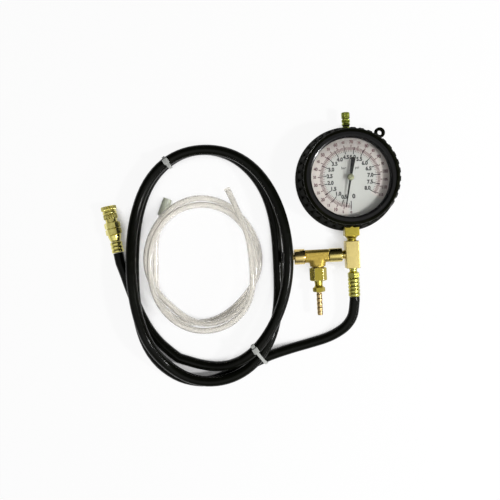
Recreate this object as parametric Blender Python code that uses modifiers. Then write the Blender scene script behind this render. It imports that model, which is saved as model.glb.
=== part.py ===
"""Fuel pressure gauge in a rubber boot, with its relief valve tee, test hose, coupler and drain tube.

Metres, +Z up. The gauge lies on its back: the origin is the centre of the boot's flat back face,
+Z comes out of the dial, and the stem and the hose fittings point along -Y.
"""
import math

import bmesh
import bpy
from mathutils import Matrix, Vector

MM = 0.001

# Fits and cutters
GAP = 0.3 * MM
RUNNING_GAP = 0.35 * MM
OVERRUN = 1.0 * MM
MERGE = 0.00001

# Case, bezel, window and dial, outwards from the window
BEZEL_OPENING_RADIUS = 38.1 * MM
GASKET_SETBACK = 0.5 * MM
GASKET_THICKNESS = 1.1 * MM
BEZEL_LIP_WIDTH = 3.1 * MM
CASE_RADIUS = BEZEL_OPENING_RADIUS + BEZEL_LIP_WIDTH
CASE_SHEET = 1.5 * MM
CASE_CORNER = 2.0 * MM
BEZEL_SHEET = 1.2 * MM
BEZEL_SKIRT = 9.0 * MM
BEZEL_LIP_THICKNESS = 1.6 * MM
LENS_THICKNESS = 2.0 * MM
DIAL_THICKNESS = 0.8 * MM
DIAL_HOLE_RADIUS = 2.2 * MM
DIAL_RING_WALL = 1.5 * MM

# The movement's plates, and what stands above them: dial, pointer, case rim, lens and bezel
BOOT_BACK_THICKNESS = 4.0 * MM
CASE_FLOOR = BOOT_BACK_THICKNESS + GAP
PLATE_THICKNESS = 1.2 * MM
PLATE_CLEARANCE = 3.2 * MM
PLATE_SPACING = 10.0 * MM
BACK_PLATE_HEIGHT = CASE_FLOOR + CASE_SHEET + PLATE_CLEARANCE
FRONT_PLATE_HEIGHT = BACK_PLATE_HEIGHT + PLATE_SPACING
DIAL_CLEARANCE = 4.4 * MM
DIAL_HEIGHT = FRONT_PLATE_HEIGHT + PLATE_THICKNESS + DIAL_CLEARANCE
POINTER_CLEARANCE = 3.0 * MM
POINTER_HEIGHT = DIAL_HEIGHT + DIAL_THICKNESS + POINTER_CLEARANCE
DIAL_DEPTH = 6.0 * MM
CASE_RIM_HEIGHT = DIAL_HEIGHT + DIAL_DEPTH
LENS_FLOOR = CASE_RIM_HEIGHT + GAP + GASKET_THICKNESS + GAP
BEZEL_FRONT_HEIGHT = LENS_FLOOR + LENS_THICKNESS + GAP + BEZEL_LIP_THICKNESS

# Rubber boot, round the bezel
BOOT_PROUD = 1.8 * MM
BOOT_DEPTH = BEZEL_FRONT_HEIGHT + BOOT_PROUD
BOOT_LIP_REVEAL = 1.0 * MM
BOOT_LIP_WIDTH = 3.6 * MM
BOOT_SHOULDER = 2.1 * MM
BOOT_FLARE = 3.5 * MM
BOOT_LIP_INNER_RADIUS = CASE_RADIUS + BOOT_LIP_REVEAL
BOOT_LIP_OUTER_RADIUS = BOOT_LIP_INNER_RADIUS + BOOT_LIP_WIDTH
BOOT_FRONT_RADIUS = BOOT_LIP_OUTER_RADIUS + BOOT_SHOULDER
BOOT_BACK_RADIUS = BOOT_FRONT_RADIUS + BOOT_FLARE
BOOT_LIP_THICKNESS = 1.5 * MM
BOOT_EDGE_ROUND = 1.8 * MM
BOOT_RIB_START = 14.0 * MM
BOOT_RIB_DEPTH = 1.4 * MM
BOOT_RIB_COUNT = 36
BOOT_WINDOW_WIDTH = 15.0 * MM
LOOP_ANGLE = math.radians(53.0)
LOOP_REACH = 5.5 * MM
LOOP_CENTRE_RADIUS = BOOT_FRONT_RADIUS + LOOP_REACH
LOOP_OUTER_RADIUS = 5.2 * MM
LOOP_HOLE_RADIUS = 2.3 * MM
LOOP_HEIGHT = 16.0 * MM
LOOP_THICKNESS = 6.0 * MM

# Stem socket and tee block, all on the stem's axis
STEM_HEIGHT = 15.0 * MM
SOCKET_WIDTH = 14.0 * MM
SOCKET_INSET = 2.8 * MM
SOCKET_CLEARANCE = 3.0 * MM
PLATE_LOW = -19.0 * MM
SOCKET_BOTTOM = -CASE_RADIUS + SOCKET_INSET
SOCKET_TOP = PLATE_LOW - SOCKET_CLEARANCE
SOCKET_RISE = 7.0 * MM
NECK_RADIUS = 6.3 * MM
NECK_LENGTH = 4.3 * MM
FLATS_WIDTH = 14.2 * MM
FLATS_LENGTH = 10.9 * MM
FLATS_START = -CASE_RADIUS - NECK_LENGTH
FLATS_END = FLATS_START - FLATS_LENGTH
STEM_THREAD_RADIUS = 4.5 * MM
THREAD_GRIP = 5.0 * MM
BLOCK_WIDTH = 14.2 * MM
BLOCK_STANDOFF = 4.6 * MM
BLOCK_LENGTH = 26.8 * MM
BLOCK_START = FLATS_END - BLOCK_STANDOFF
BLOCK_END = BLOCK_START - BLOCK_LENGTH
BLOCK_EDGE = 0.9 * MM
SIDE_PORT_DROP = 13.2 * MM
SIDE_PORT = BLOCK_START - SIDE_PORT_DROP
TONGUE_TOP = BACK_PLATE_HEIGHT - GAP
TONGUE_REACH = -8.0 * MM

# Vent screw on top of the case
VENT_NECK_RADIUS = 3.3 * MM
VENT_NECK_REACH = 8.8 * MM
VENT_NECK_END = CASE_RADIUS + VENT_NECK_REACH
VENT_FLANGE_RADIUS = 5.0 * MM
VENT_FLANGE_THICKNESS = 1.3 * MM
VENT_CAP_RADIUS = 4.0 * MM
VENT_CAP_LENGTH = 12.7 * MM
VENT_SHANK_RADIUS = 1.8 * MM
VENT_SHANK_LENGTH = 5.5 * MM
VENT_SEAL_THICKNESS = 0.9 * MM
VENT_KNURL_DEPTH = 0.35 * MM
VENT_KNURL_COUNT = 12

# Movement: plates, sector gear, pinion shaft and pointer
PLATE_HIGH = 8.0 * MM
PILLAR_RADIUS = 1.6 * MM
STUD_RADIUS = 0.9 * MM
PILLAR_PLACES = ((5.2 * MM, -16.6 * MM), (-16.6 * MM, 5.2 * MM), (5.4 * MM, 5.4 * MM))
SHAFT_RADIUS = 1.0 * MM
GEAR_RISE = 4.8 * MM
GEAR_HEIGHT = BACK_PLATE_HEIGHT + GEAR_RISE
GEAR_THICKNESS = 1.2 * MM
SECTOR_RADIUS = 16.0 * MM
PINION_RADIUS = 1.6 * MM
TOOTH_DEPTH = 0.3 * MM
PINION_TEETH = 12
SECTOR_TEETH = 14
SECTOR_RIM_WIDTH = 2.6 * MM
SECTOR_HUB_RADIUS = 2.6 * MM
SECTOR_TAIL = 7.0 * MM
SECTOR_ARM_WIDTH = 2.2 * MM
POINTER_SWEEP = math.radians(304.0)
GEAR_RATIO = SECTOR_RADIUS / PINION_RADIUS
SECTOR_MARGIN = math.radians(7.0)
PIVOT_ANGLE = math.radians(225.0)
POINTER_REST_ANGLE = math.radians(258.8)
POINTER_LENGTH = 29.2 * MM
POINTER_TAIL = 19.4 * MM
POINTER_THICKNESS = 0.5 * MM
POINTER_TAIL_WIDTH = 4.0 * MM
POINTER_HUB_RADIUS = 3.3 * MM
POINTER_HUB_THICKNESS = 1.8 * MM

# Bourdon tube and link
BOURDON_INSET = 12.7 * MM
BOURDON_RADIUS = CASE_RADIUS - BOURDON_INSET
BOURDON_DEPTH = 8.4 * MM
BOURDON_WIDTH = 3.8 * MM
BOURDON_ROOT_GAP = 0.6 * MM
BOURDON_START = -math.acos((SOCKET_WIDTH / 2 + BOURDON_ROOT_GAP) / (BOURDON_RADIUS - BOURDON_WIDTH / 2))
BOURDON_END = math.radians(188.0)
BOURDON_STEPS = 24
TUBE_END_LENGTH = 5.0 * MM
TUBE_END_WIDTH = 5.0 * MM
TUBE_END_FLOOR = 11.0 * MM
LINK_THICKNESS = 0.9 * MM
LINK_WIDTH = 3.0 * MM
PIN_RADIUS = 0.7 * MM
PIN_RISE = 1.8 * MM
HAIRSPRING_TURNS = 3
HAIRSPRING_WIRE = 0.25 * MM
HAIRSPRING_INNER = 1.7 * MM
HAIRSPRING_PITCH = 1.0 * MM
HAIRSPRING_RISE = 3.0 * MM
HAIRSPRING_HEIGHT = BACK_PLATE_HEIGHT + HAIRSPRING_RISE

# Small screws
SCREW_HEAD_RADIUS = 2.4 * MM
SCREW_HEAD_THICKNESS = 1.1 * MM
SCREW_SHANK_RADIUS = 1.2 * MM
CASE_SCREW_LENGTH = 7.0 * MM
CASE_SCREW_SPREAD = 4.0 * MM
CASE_SCREW_LINE = (SOCKET_TOP + SOCKET_BOTTOM) / 2
CASE_SCREW_PLACES = ((-CASE_SCREW_SPREAD, CASE_SCREW_LINE), (CASE_SCREW_SPREAD, CASE_SCREW_LINE))
MOVEMENT_SCREW_PLACES = ((-3.5 * MM, -15.5 * MM), (0.5 * MM, -10.5 * MM))
MOVEMENT_SCREW_LENGTH = 3.2 * MM

# Side branch: union, forged tee, relief valve, nut and barb
UNION_RADIUS = 6.35 * MM
UNION_STANDOFF = 3.0 * MM
UNION_LENGTH = 12.9 * MM
UNION_START = -BLOCK_WIDTH / 2 - UNION_STANDOFF
UNION_END = UNION_START - UNION_LENGTH
UNION_THREAD_RADIUS = 4.2 * MM
UNION_GRIP = 2.6 * MM
UNION_BORE_RADIUS = 2.4 * MM
RUN_RADIUS = 5.6 * MM
RUN_LENGTH = 23.4 * MM
RUN_END = UNION_END - RUN_LENGTH
RUN_BORE_RADIUS = 3.0 * MM
BRANCH_DISTANCE = 11.3 * MM
BRANCH_X = UNION_END - BRANCH_DISTANCE
BRANCH_NECK_RADIUS = 5.1 * MM
BRANCH_COLLAR_RADIUS = 7.6 * MM
BRANCH_COLLAR_DROP = 4.4 * MM
BRANCH_COLLAR_LENGTH = 6.4 * MM
BRANCH_COLLAR_START = SIDE_PORT - BRANCH_COLLAR_DROP
BRANCH_COLLAR_END = BRANCH_COLLAR_START - BRANCH_COLLAR_LENGTH
VALVE_RADIUS = 7.1 * MM
VALVE_LENGTH = 10.6 * MM
VALVE_END = RUN_END - VALVE_LENGTH
VALVE_NECK_RADIUS = 2.8 * MM
VALVE_NECK_LENGTH = 5.0 * MM
VALVE_NECK_END = VALVE_END - VALVE_NECK_LENGTH
VALVE_CHAMBER_RADIUS = 2.6 * MM
VALVE_CHAMBER_WALL = 1.8 * MM
VALVE_CHAMBER_END = VALVE_END + VALVE_CHAMBER_WALL
VALVE_EDGE = 0.6 * MM
POPPET_RADIUS = 2.2 * MM
POPPET_THICKNESS = 1.2 * MM
POPPET_ROD_RADIUS = 1.1 * MM
POPPET_SEAL_THICKNESS = 0.9 * MM
BUTTON_RADIUS = 5.4 * MM
BUTTON_STANDOFF = 3.4 * MM
BUTTON_LENGTH = 9.0 * MM
BUTTON_MOUTH = VALVE_END - BUTTON_STANDOFF
BUTTON_END = BUTTON_MOUTH - BUTTON_LENGTH
BUTTON_WALL = 1.1 * MM
BUTTON_FACE = 1.7 * MM
BUTTON_TRAVEL = 3.0 * MM
BUTTON_SPRING_WIRE = 0.35 * MM
BUTTON_SPRING_RADIUS = 3.6 * MM
BUTTON_SPRING_TURNS = 5
NUT_LENGTH = 13.1 * MM
NUT_START = BRANCH_COLLAR_END - GAP
NUT_END = NUT_START - NUT_LENGTH
NUT_CORNER_RADIUS = 8.4 * MM
BARB_HEAD_RADIUS = 4.15 * MM
BARB_NECK_LENGTH = 6.3 * MM
BARB_NECK_END = NUT_END - BARB_NECK_LENGTH
BARB_HEX_RADIUS = 6.0 * MM
BARB_HEX_LENGTH = 4.5 * MM
BARB_HEX_END = BARB_NECK_END - BARB_HEX_LENGTH
FLAT_UP = math.radians(30.0)
BARB_RADIUS = 2.85 * MM
BARB_GROOVE = 0.6 * MM
BARB_LENGTH = 22.8 * MM
BARB_END = BARB_HEX_END - BARB_LENGTH
BARB_RIDGES = 5
BARB_BORE_RADIUS = 1.4 * MM

# Hose nipple and ferrule under the tee block
NIPPLE_RADIUS = 4.1 * MM
NIPPLE_STANDOFF = 4.4 * MM
NIPPLE_HEX_LENGTH = 4.9 * MM
NIPPLE_HEX_START = BLOCK_END - NIPPLE_STANDOFF
NIPPLE_HEX_END = NIPPLE_HEX_START - NIPPLE_HEX_LENGTH
NIPPLE_HEX_RADIUS = 6.1 * MM
NIPPLE_BORE_RADIUS = 2.0 * MM
FERRULE_LENGTH = 18.5 * MM
FERRULE_END = NIPPLE_HEX_END - FERRULE_LENGTH
FERRULE_RADIUS = 5.65 * MM
FERRULE_GROOVE = 0.6 * MM
FERRULE_RINGS = 5

# Test hose: one line from the ferrule to the coupler, wound twice round an oval
HOSE_RADIUS = 5.0 * MM
STRAND_GAP = 0.9 * MM
COIL_CENTRE = (-138.0 * MM, -79.0 * MM)
COIL_HALF_WIDTH = 77.0 * MM
COIL_HALF_HEIGHT = 114.0 * MM
COIL_START = -0.02
COIL_FINISH = 2.06
COIL_POINTS_A_LOOP = 24
COIL_REACH_SHARES = (
    (-0.06, 0.953), (-0.02, 0.960), (0.035, 1.023), (0.125, 1.095), (0.25, 0.985), (0.375, 1.045),
    (0.5, 1.005), (0.625, 0.960), (0.75, 0.848), (0.875, 0.955), (1.0, 0.980), (1.125, 1.032), (1.25, 1.000),
    (1.375, 1.052), (1.5, 0.996), (1.625, 1.008), (1.75, 0.968), (1.875, 0.885), (2.0, 0.867),
    (2.0625, 0.889), (2.125, 0.955),
)
COIL_LAYER_SHARES = (
    (0.085, 0.0), (0.165, 1.0), (0.215, 1.0), (0.35, 0.15), (0.50, 0.15), (0.60, 0.0),
    (0.78, 0.0), (0.885, 1.15), (0.97, 1.15), (1.085, 1.0), (1.165, 2.0), (1.215, 2.0),
    (1.35, 1.15), (1.50, 1.15), (1.74, 2.12), (1.88, 2.12), (2.05, 0.0),
)
LEAD_ROUTE = (
    (-2.4 * MM, -133.6 * MM, 13.2 * MM), (-8.4 * MM, -143.6 * MM, 10.4 * MM),
    (-17.4 * MM, -150.6 * MM, 7.6 * MM), (-29.0 * MM, -155.9 * MM, 5.9 * MM), (-45.0 * MM, -160.2 * MM, 5.2 * MM),
    (-64.0 * MM, -164.5 * MM, 6.2 * MM), (-84.0 * MM, -170.0 * MM, 6.8 * MM),
    (-100.0 * MM, -176.2 * MM, 6.7 * MM),
)
TAIL_ROUTE = (
    (-183.4 * MM, -162.0 * MM, 5.0 * MM),
    (-193.0 * MM, -152.8 * MM, 5.0 * MM), (-200.6 * MM, -143.0 * MM, 5.0 * MM),
    (-206.6 * MM, -132.8 * MM, 5.0 * MM), (-212.0 * MM, -120.8 * MM, 5.0 * MM),
    (-216.6 * MM, -108.4 * MM, 5.1 * MM), (-220.6 * MM, -95.8 * MM, 5.8 * MM),
    (-224.0 * MM, -83.6 * MM, 7.2 * MM),
)
ROUTE_STEP = 15.0 * MM
END_STRAIGHT = 3.0 * MM
NEIGHBOUR_STEPS = 20

# Coupler on the hose end, on its own leaning axis
COUPLER_FOOT = (-229.5 * MM, -61.2 * MM)
COUPLER_HEIGHT = 8.2 * MM
COUPLER_LEAN = math.radians(9.4)
COUPLER_FERRULE_LENGTH = 11.0 * MM
COUPLER_FERRULE_RADIUS = 5.9 * MM
INSERT_CONE_LENGTH = 6.7 * MM
INSERT_NARROW_RADIUS = 5.2 * MM
INSERT_WIDE_RADIUS = 6.6 * MM
COUPLER_HEX_LENGTH = 6.0 * MM
COUPLER_HEX_RADIUS = 7.9 * MM
SPIGOT_RADIUS = 3.2 * MM
SPIGOT_LENGTH = 4.5 * MM
BARREL_RADIUS = 5.6 * MM
BARREL_BORE_RADIUS = 4.5 * MM
BARREL_LENGTH = 16.0 * MM
SOCKET_DEPTH = 12.6 * MM
SLEEVE_START_GAP = 3.4 * MM
SLEEVE_RADIUS = 6.9 * MM
SLEEVE_FLANGE_RADIUS = 7.6 * MM
SLEEVE_FLANGE_LENGTH = 4.3 * MM
SLEEVE_RING_GROOVE = 0.6 * MM
BALL_RADIUS = 0.85 * MM
BALL_COUNT = 4
BALL_SETBACK = 4.5 * MM
COUPLER_SEAL_THICKNESS = 1.2 * MM
COUPLER_SEAL_BORE = 2.4 * MM

# Cable ties round the wound hose
TIE_THICKNESS = 1.1 * MM
TIE_WIDTH = 4.0 * MM
TIE_HEAD = (5.4 * MM, 5.6 * MM, 3.4 * MM)
TIE_STEP = 0.5 * MM
TIE_SEARCH = 42.0 * MM
TIE_SLANT_SHARE = 0.3
UPPER_TIE_TURN = 1.42
LOWER_TIE_TURN = 1.902
LOWER_TIE_SLANT = math.radians(-11.8)

# Clear drain tube, lying loose inside the wound hose
DRAIN_RADIUS = 3.0 * MM
DRAIN_CENTRE = (-146.8 * MM, -76.9 * MM)
DRAIN_HALF_WIDTH = 53.0 * MM
DRAIN_HALF_HEIGHT = 62.0 * MM
DRAIN_START = 0.576
DRAIN_FINISH = 3.385
DRAIN_REACH_SHARES = (
    (0.53, 1.45), (0.576, 1.23), (0.61, 1.08), (0.66, 0.975), (0.75, 0.91), (0.875, 1.045),
    (1.0, 1.043), (1.125, 1.02), (1.25, 0.965), (1.375, 0.960), (1.5, 0.94), (1.625, 0.965),
    (1.75, 0.985), (1.875, 0.970), (2.0, 0.945), (2.125, 0.890), (2.25, 1.040), (2.375, 1.045),
    (2.5, 1.05), (2.625, 1.045), (2.75, 1.055), (2.875, 0.905), (3.0, 0.925), (3.125, 1.040),
    (3.25, 0.890), (3.33, 0.965), (3.373, 1.057), (3.407, 1.155), (3.43, 1.25),
)
DRAIN_LAYER_SHARES = (
    (0.556, 1.3), (0.62, 2.0), (1.15, 2.0), (1.36, 2.2), (1.64, 1.0), (2.20, 1.0), (2.38, 1.45),
    (2.68, 0.0), (3.20, 0.0), (3.36, 0.27),
)
DRAIN_SLEEVE_RADIUS = 4.5 * MM
DRAIN_SLEEVE_LENGTH = 18.0 * MM
DRAIN_SLEEVE_GRIP = 7.0 * MM
DRAIN_SLEEVE_BORE = 2.2 * MM

# Round pieces are this finely faceted
FINE = 48
ROUND = 20
SMALL = 12

UP = Vector((0.0, 0.0, 1.0))
DOWN_THE_STEM = Vector((0.0, -1.0, 0.0))
UP_THE_STEM = Vector((0.0, 1.0, 0.0))
ALONG_BRANCH = Vector((-1.0, 0.0, 0.0))


def clear_scene():
    for obj in list(bpy.data.objects):
        bpy.data.objects.remove(obj, do_unlink=True)


def collection(name):
    made = bpy.data.collections.new(name)
    bpy.context.scene.collection.children.link(made)
    return made


def material(name, colour, roughness, metallic=0.0, alpha=1.0):
    made = bpy.data.materials.new(name)
    made.use_nodes = True
    shader = made.node_tree.nodes["Principled BSDF"]
    shader.inputs["Base Color"].default_value = (*colour, 1.0)
    shader.inputs["Roughness"].default_value = roughness
    shader.inputs["Metallic"].default_value = metallic
    shader.inputs["Alpha"].default_value = alpha
    return made


clear_scene()
PARTS = collection("fuel_pressure_gauge")
CUTTERS = collection("cutters")

RUBBER = material("black_rubber", (0.015, 0.015, 0.014), 0.6)
BLACK_STEEL = material("black_steel", (0.02, 0.02, 0.02), 0.35, 0.6)
CLEAR = material("clear_lens", (0.95, 0.96, 0.97), 0.05, 0.0, 0.25)
WHITE_DIAL = material("white_dial", (0.74, 0.75, 0.72), 0.5)
BRASS = material("pale_brass", (0.80, 0.68, 0.38), 0.3, 0.9)
COPPER_BRASS = material("red_brass", (0.62, 0.42, 0.22), 0.3, 0.9)
STEEL = material("plain_steel", (0.55, 0.56, 0.57), 0.3, 1.0)
BLACK_PLASTIC = material("black_plastic", (0.02, 0.02, 0.02), 0.3)
HOSE_RUBBER = material("hose_rubber", (0.02, 0.02, 0.018), 0.35)
NYLON = material("natural_nylon", (0.85, 0.84, 0.80), 0.5)
VINYL = material("clear_vinyl", (0.80, 0.79, 0.74), 0.25, 0.0, 0.6)


def adopt(name, mesh, finish, at=Vector(), direction=UP):
    """Make an object of a mesh whose own +Z points along direction, standing at the place given."""
    mesh.name = name
    mesh.materials.clear()
    mesh.materials.append(finish)
    obj = bpy.data.objects.new(name, mesh)
    obj.location = at
    obj.rotation_mode = "QUATERNION"
    obj.rotation_quaternion = UP.rotation_difference(direction)
    PARTS.objects.link(obj)
    return obj


def smooth(obj, angle=math.radians(35.0)):
    obj.data.shade_smooth()
    obj.data.set_sharp_from_angle(angle=angle)
    return obj


def turned(name, profile, finish, at=Vector(), direction=UP, steps=ROUND, ring=False):
    """Turn a profile of (radius, height) points, which runs down its outer side, about its own Z."""
    mesh = bpy.data.meshes.new(name)
    points = [(radius, 0.0, height) for radius, height in profile]
    edges = [(i, i + 1) for i in range(len(points) - 1)]
    if ring:
        edges.append((len(points) - 1, 0))
    mesh.from_pydata(points, edges, [])
    obj = adopt(name, mesh, finish, at, direction)
    screw = obj.modifiers.new("turn", "SCREW")
    screw.steps = steps
    screw.render_steps = steps
    screw.use_merge_vertices = True
    screw.merge_threshold = MERGE
    return obj


def settle(obj):
    """Swap an object's modifiers for the mesh that they make."""
    bpy.context.view_layer.update()
    graph = bpy.context.evaluated_depsgraph_get()
    mesh = bpy.data.meshes.new_from_object(obj.evaluated_get(graph))
    obj.modifiers.clear()
    obj.data = mesh
    return obj


def shape_mesh(build):
    mesh = bpy.data.meshes.new("shape")
    shape = bmesh.new()
    build(shape)
    bmesh.ops.recalc_face_normals(shape, faces=shape.faces)
    shape.to_mesh(mesh)
    shape.free()
    return mesh


def box_mesh(low, high):
    """A box between two corners."""
    low, high = Vector(low), Vector(high)

    def build(shape):
        place = Matrix.Translation((low + high) / 2)
        bmesh.ops.create_cube(shape, size=1.0, matrix=place @ Matrix.Diagonal((*(high - low), 1.0)))
    return shape_mesh(build)


def prism_mesh(radius, low, high, sides, turn=0.0):
    """A prism with regular sides, between two heights on its own Z."""
    def build(shape):
        place = Matrix.Translation((0.0, 0.0, (low + high) / 2)) @ Matrix.Rotation(turn, 4, "Z")
        bmesh.ops.create_cone(shape, cap_ends=True, segments=sides, radius1=radius,
                              radius2=radius, depth=high - low, matrix=place)
    return shape_mesh(build)


def plate_mesh(outlines, low, high):
    """A flat plate from closed outlines, the first one its edge and the others holes."""
    curve = bpy.data.curves.new("outline", "CURVE")
    curve.dimensions = "2D"
    curve.fill_mode = "BOTH"
    curve.extrude = (high - low) / 2
    for outline in outlines:
        spline = curve.splines.new("POLY")
        spline.points.add(len(outline) - 1)
        for point, (x, y) in zip(spline.points, outline):
            point.co = (x, y, 0.0, 1.0)
        spline.use_cyclic_u = True
    mesh = curve_mesh(curve)
    mesh.transform(Matrix.Translation((0.0, 0.0, (low + high) / 2)))
    return mesh


def curve_mesh(curve):
    """Read a curve as a mesh and weld its caps."""
    holder = bpy.data.objects.new("curve", curve)
    PARTS.objects.link(holder)
    bpy.context.view_layer.update()
    graph = bpy.context.evaluated_depsgraph_get()
    mesh = bpy.data.meshes.new_from_object(holder.evaluated_get(graph))
    bpy.data.objects.remove(holder, do_unlink=True)
    shape = bmesh.new()
    shape.from_mesh(mesh)
    bmesh.ops.remove_doubles(shape, verts=shape.verts, dist=MERGE)
    bmesh.ops.recalc_face_normals(shape, faces=shape.faces)
    shape.to_mesh(mesh)
    shape.free()
    return mesh


def circle(centre, radius, steps=SMALL):
    turns = [2 * math.pi * i / steps for i in range(steps)]
    return [(centre[0] + radius * math.cos(t), centre[1] + radius * math.sin(t)) for t in turns]


def combine(obj, tool, operation):
    """Join a tool to an object, or cut it away, and put the tool among the cutters."""
    PARTS.objects.unlink(tool)
    CUTTERS.objects.link(tool)
    tool.hide_render = True
    tool.display_type = "WIRE"
    step = obj.modifiers.new(operation.lower(), "BOOLEAN")
    step.operation = operation
    step.solver = "EXACT"
    step.object = tool
    return obj


def cut(obj, tool):
    return combine(obj, tool, "DIFFERENCE")


def join(obj, tool):
    return combine(obj, tool, "UNION")


def cylinder(name, radius, low, high, at=Vector(), direction=UP, steps=SMALL, finish=BRASS):
    return adopt(name, prism_mesh(radius, low, high, steps), finish, at, direction)


def copies(name, mesh, finish, places):
    """Like pieces that share one mesh, each its own object."""
    for number, place in enumerate(places, 1):
        smooth(adopt(f"{name}_{number}", mesh, finish, place))


def turned_mesh(profile, steps=SMALL):
    """The mesh of a turned shape, for a piece that is used more than once."""
    obj = settle(turned("turned", profile, BRASS, steps=steps))
    mesh = obj.data
    bpy.data.objects.remove(obj, do_unlink=True)
    return mesh


def grooved(obj, count, depth, low, high, inner_radius):
    """Draw every third column of a turned mesh in, between two heights, to leave ribs."""
    settle(obj)
    pitch = 2 * math.pi / count
    for vertex in obj.data.vertices:
        radius = math.hypot(vertex.co.x, vertex.co.y)
        if not low < vertex.co.z < high or radius < inner_radius:
            continue
        column = round(math.atan2(vertex.co.y, vertex.co.x) / pitch * 3)
        if column % 3 == 0:
            share = (radius - depth) / radius
            vertex.co.x *= share
            vertex.co.y *= share
    return obj


# Rubber boot, case, bezel, window and dial

CASE_INNER_RADIUS = CASE_RADIUS - CASE_SHEET
BEZEL_INNER_RADIUS = CASE_RADIUS + GAP
BEZEL_RADIUS = BEZEL_INNER_RADIUS + BEZEL_SHEET
BEZEL_SKIRT_END = BEZEL_FRONT_HEIGHT - BEZEL_SKIRT
BOOT_CAVITY_RADIUS = BEZEL_RADIUS + GAP
BOOT_LIP_HEIGHT = BOOT_DEPTH - BOOT_LIP_THICKNESS


def make_boot():
    rib_end = BOOT_LIP_HEIGHT - BOOT_EDGE_ROUND
    profile = [
        (0.0, BOOT_BACK_THICKNESS),
        (CASE_RADIUS + GAP, BOOT_BACK_THICKNESS),
        (BOOT_CAVITY_RADIUS, BEZEL_SKIRT_END - GAP),
        (BOOT_CAVITY_RADIUS, BOOT_LIP_HEIGHT),
        (BOOT_LIP_INNER_RADIUS, BOOT_LIP_HEIGHT),
        (BOOT_LIP_INNER_RADIUS, BOOT_DEPTH),
        (BOOT_LIP_OUTER_RADIUS, BOOT_DEPTH),
        (BOOT_FRONT_RADIUS - BOOT_RIB_DEPTH, rib_end + BOOT_EDGE_ROUND / 2),
        (BOOT_FRONT_RADIUS, rib_end),
        (BOOT_FRONT_RADIUS + BOOT_RIB_DEPTH / 2, BOOT_RIB_START + BOOT_EDGE_ROUND),
        (BOOT_FRONT_RADIUS + BOOT_RIB_DEPTH, BOOT_RIB_START),
        (BOOT_BACK_RADIUS, BOOT_BACK_THICKNESS),
        (BOOT_BACK_RADIUS, BOOT_EDGE_ROUND),
        (BOOT_BACK_RADIUS - BOOT_EDGE_ROUND, 0.0),
        (0.0, 0.0),
    ]
    boot = turned("rubber_boot", profile, RUBBER, steps=3 * BOOT_RIB_COUNT)
    grooved(boot, BOOT_RIB_COUNT, BOOT_RIB_DEPTH, BOOT_RIB_START + GAP, rib_end + GAP,
            BOOT_CAVITY_RADIUS + GAP)
    spot = Vector((math.cos(LOOP_ANGLE), math.sin(LOOP_ANGLE), 0.0)) * LOOP_CENTRE_RADIUS
    low, high = LOOP_HEIGHT - LOOP_THICKNESS / 2, LOOP_HEIGHT + LOOP_THICKNESS / 2
    join(boot, cylinder("loop_body", LOOP_OUTER_RADIUS, low, high, spot, steps=ROUND))
    cut(boot, cylinder("loop_hole", LOOP_HOLE_RADIUS, low - OVERRUN, high + OVERRUN, spot))
    half = BOOT_WINDOW_WIDTH / 2
    stem_window = box_mesh((-half, -BOOT_BACK_RADIUS - OVERRUN, STEM_HEIGHT - half),
                           (half, -CASE_RADIUS + BOOT_EDGE_ROUND, STEM_HEIGHT + half))
    cut(boot, adopt("stem_window", stem_window, RUBBER))
    cut(boot, cylinder("vent_window", VENT_NECK_RADIUS + OVERRUN, CASE_RADIUS - BOOT_EDGE_ROUND,
                       BOOT_BACK_RADIUS + OVERRUN, Vector((0.0, 0.0, STEM_HEIGHT)), UP_THE_STEM))
    return smooth(boot)


def make_case():
    inner_floor = CASE_FLOOR + CASE_SHEET
    profile = [
        (0.0, inner_floor),
        (CASE_INNER_RADIUS - CASE_CORNER / 2, inner_floor),
        (CASE_INNER_RADIUS, inner_floor + CASE_CORNER / 2),
        (CASE_INNER_RADIUS, CASE_RIM_HEIGHT),
        (CASE_RADIUS, CASE_RIM_HEIGHT),
        (CASE_RADIUS, CASE_FLOOR + CASE_CORNER),
        (CASE_RADIUS - CASE_CORNER, CASE_FLOOR),
        (0.0, CASE_FLOOR),
    ]
    case = turned("case_shell", profile, BLACK_STEEL, steps=FINE)
    axis = Vector((0.0, 0.0, STEM_HEIGHT))
    inside, outside = CASE_INNER_RADIUS - 2 * OVERRUN, CASE_RADIUS + OVERRUN
    cut(case, cylinder("stem_hole", NECK_RADIUS + GAP, inside, outside, axis, DOWN_THE_STEM))
    cut(case, cylinder("vent_hole", VENT_NECK_RADIUS + GAP, inside, outside, axis, UP_THE_STEM))
    for x, y in CASE_SCREW_PLACES:
        cut(case, adopt("case_screw_seat", case_screw_mesh(GAP), STEEL, (x, y, 0.0)))
    return smooth(case)


def case_screw_mesh(extra):
    """A countersunk screw from the case's back into the socket, or its seat when made larger."""
    head_end = CASE_FLOOR + SCREW_HEAD_THICKNESS
    head = CASE_FLOOR + GAP
    top = CASE_FLOOR + CASE_SCREW_LENGTH + extra
    profile = [(0.0, top), (SCREW_SHANK_RADIUS + extra, top),
               (SCREW_SHANK_RADIUS + extra, head_end), (SCREW_HEAD_RADIUS + extra, head)]
    if extra:
        profile.append((SCREW_HEAD_RADIUS + extra, head - extra * 2))
    profile.append((0.0, profile[-1][1]))
    return turned_mesh(profile)


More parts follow.
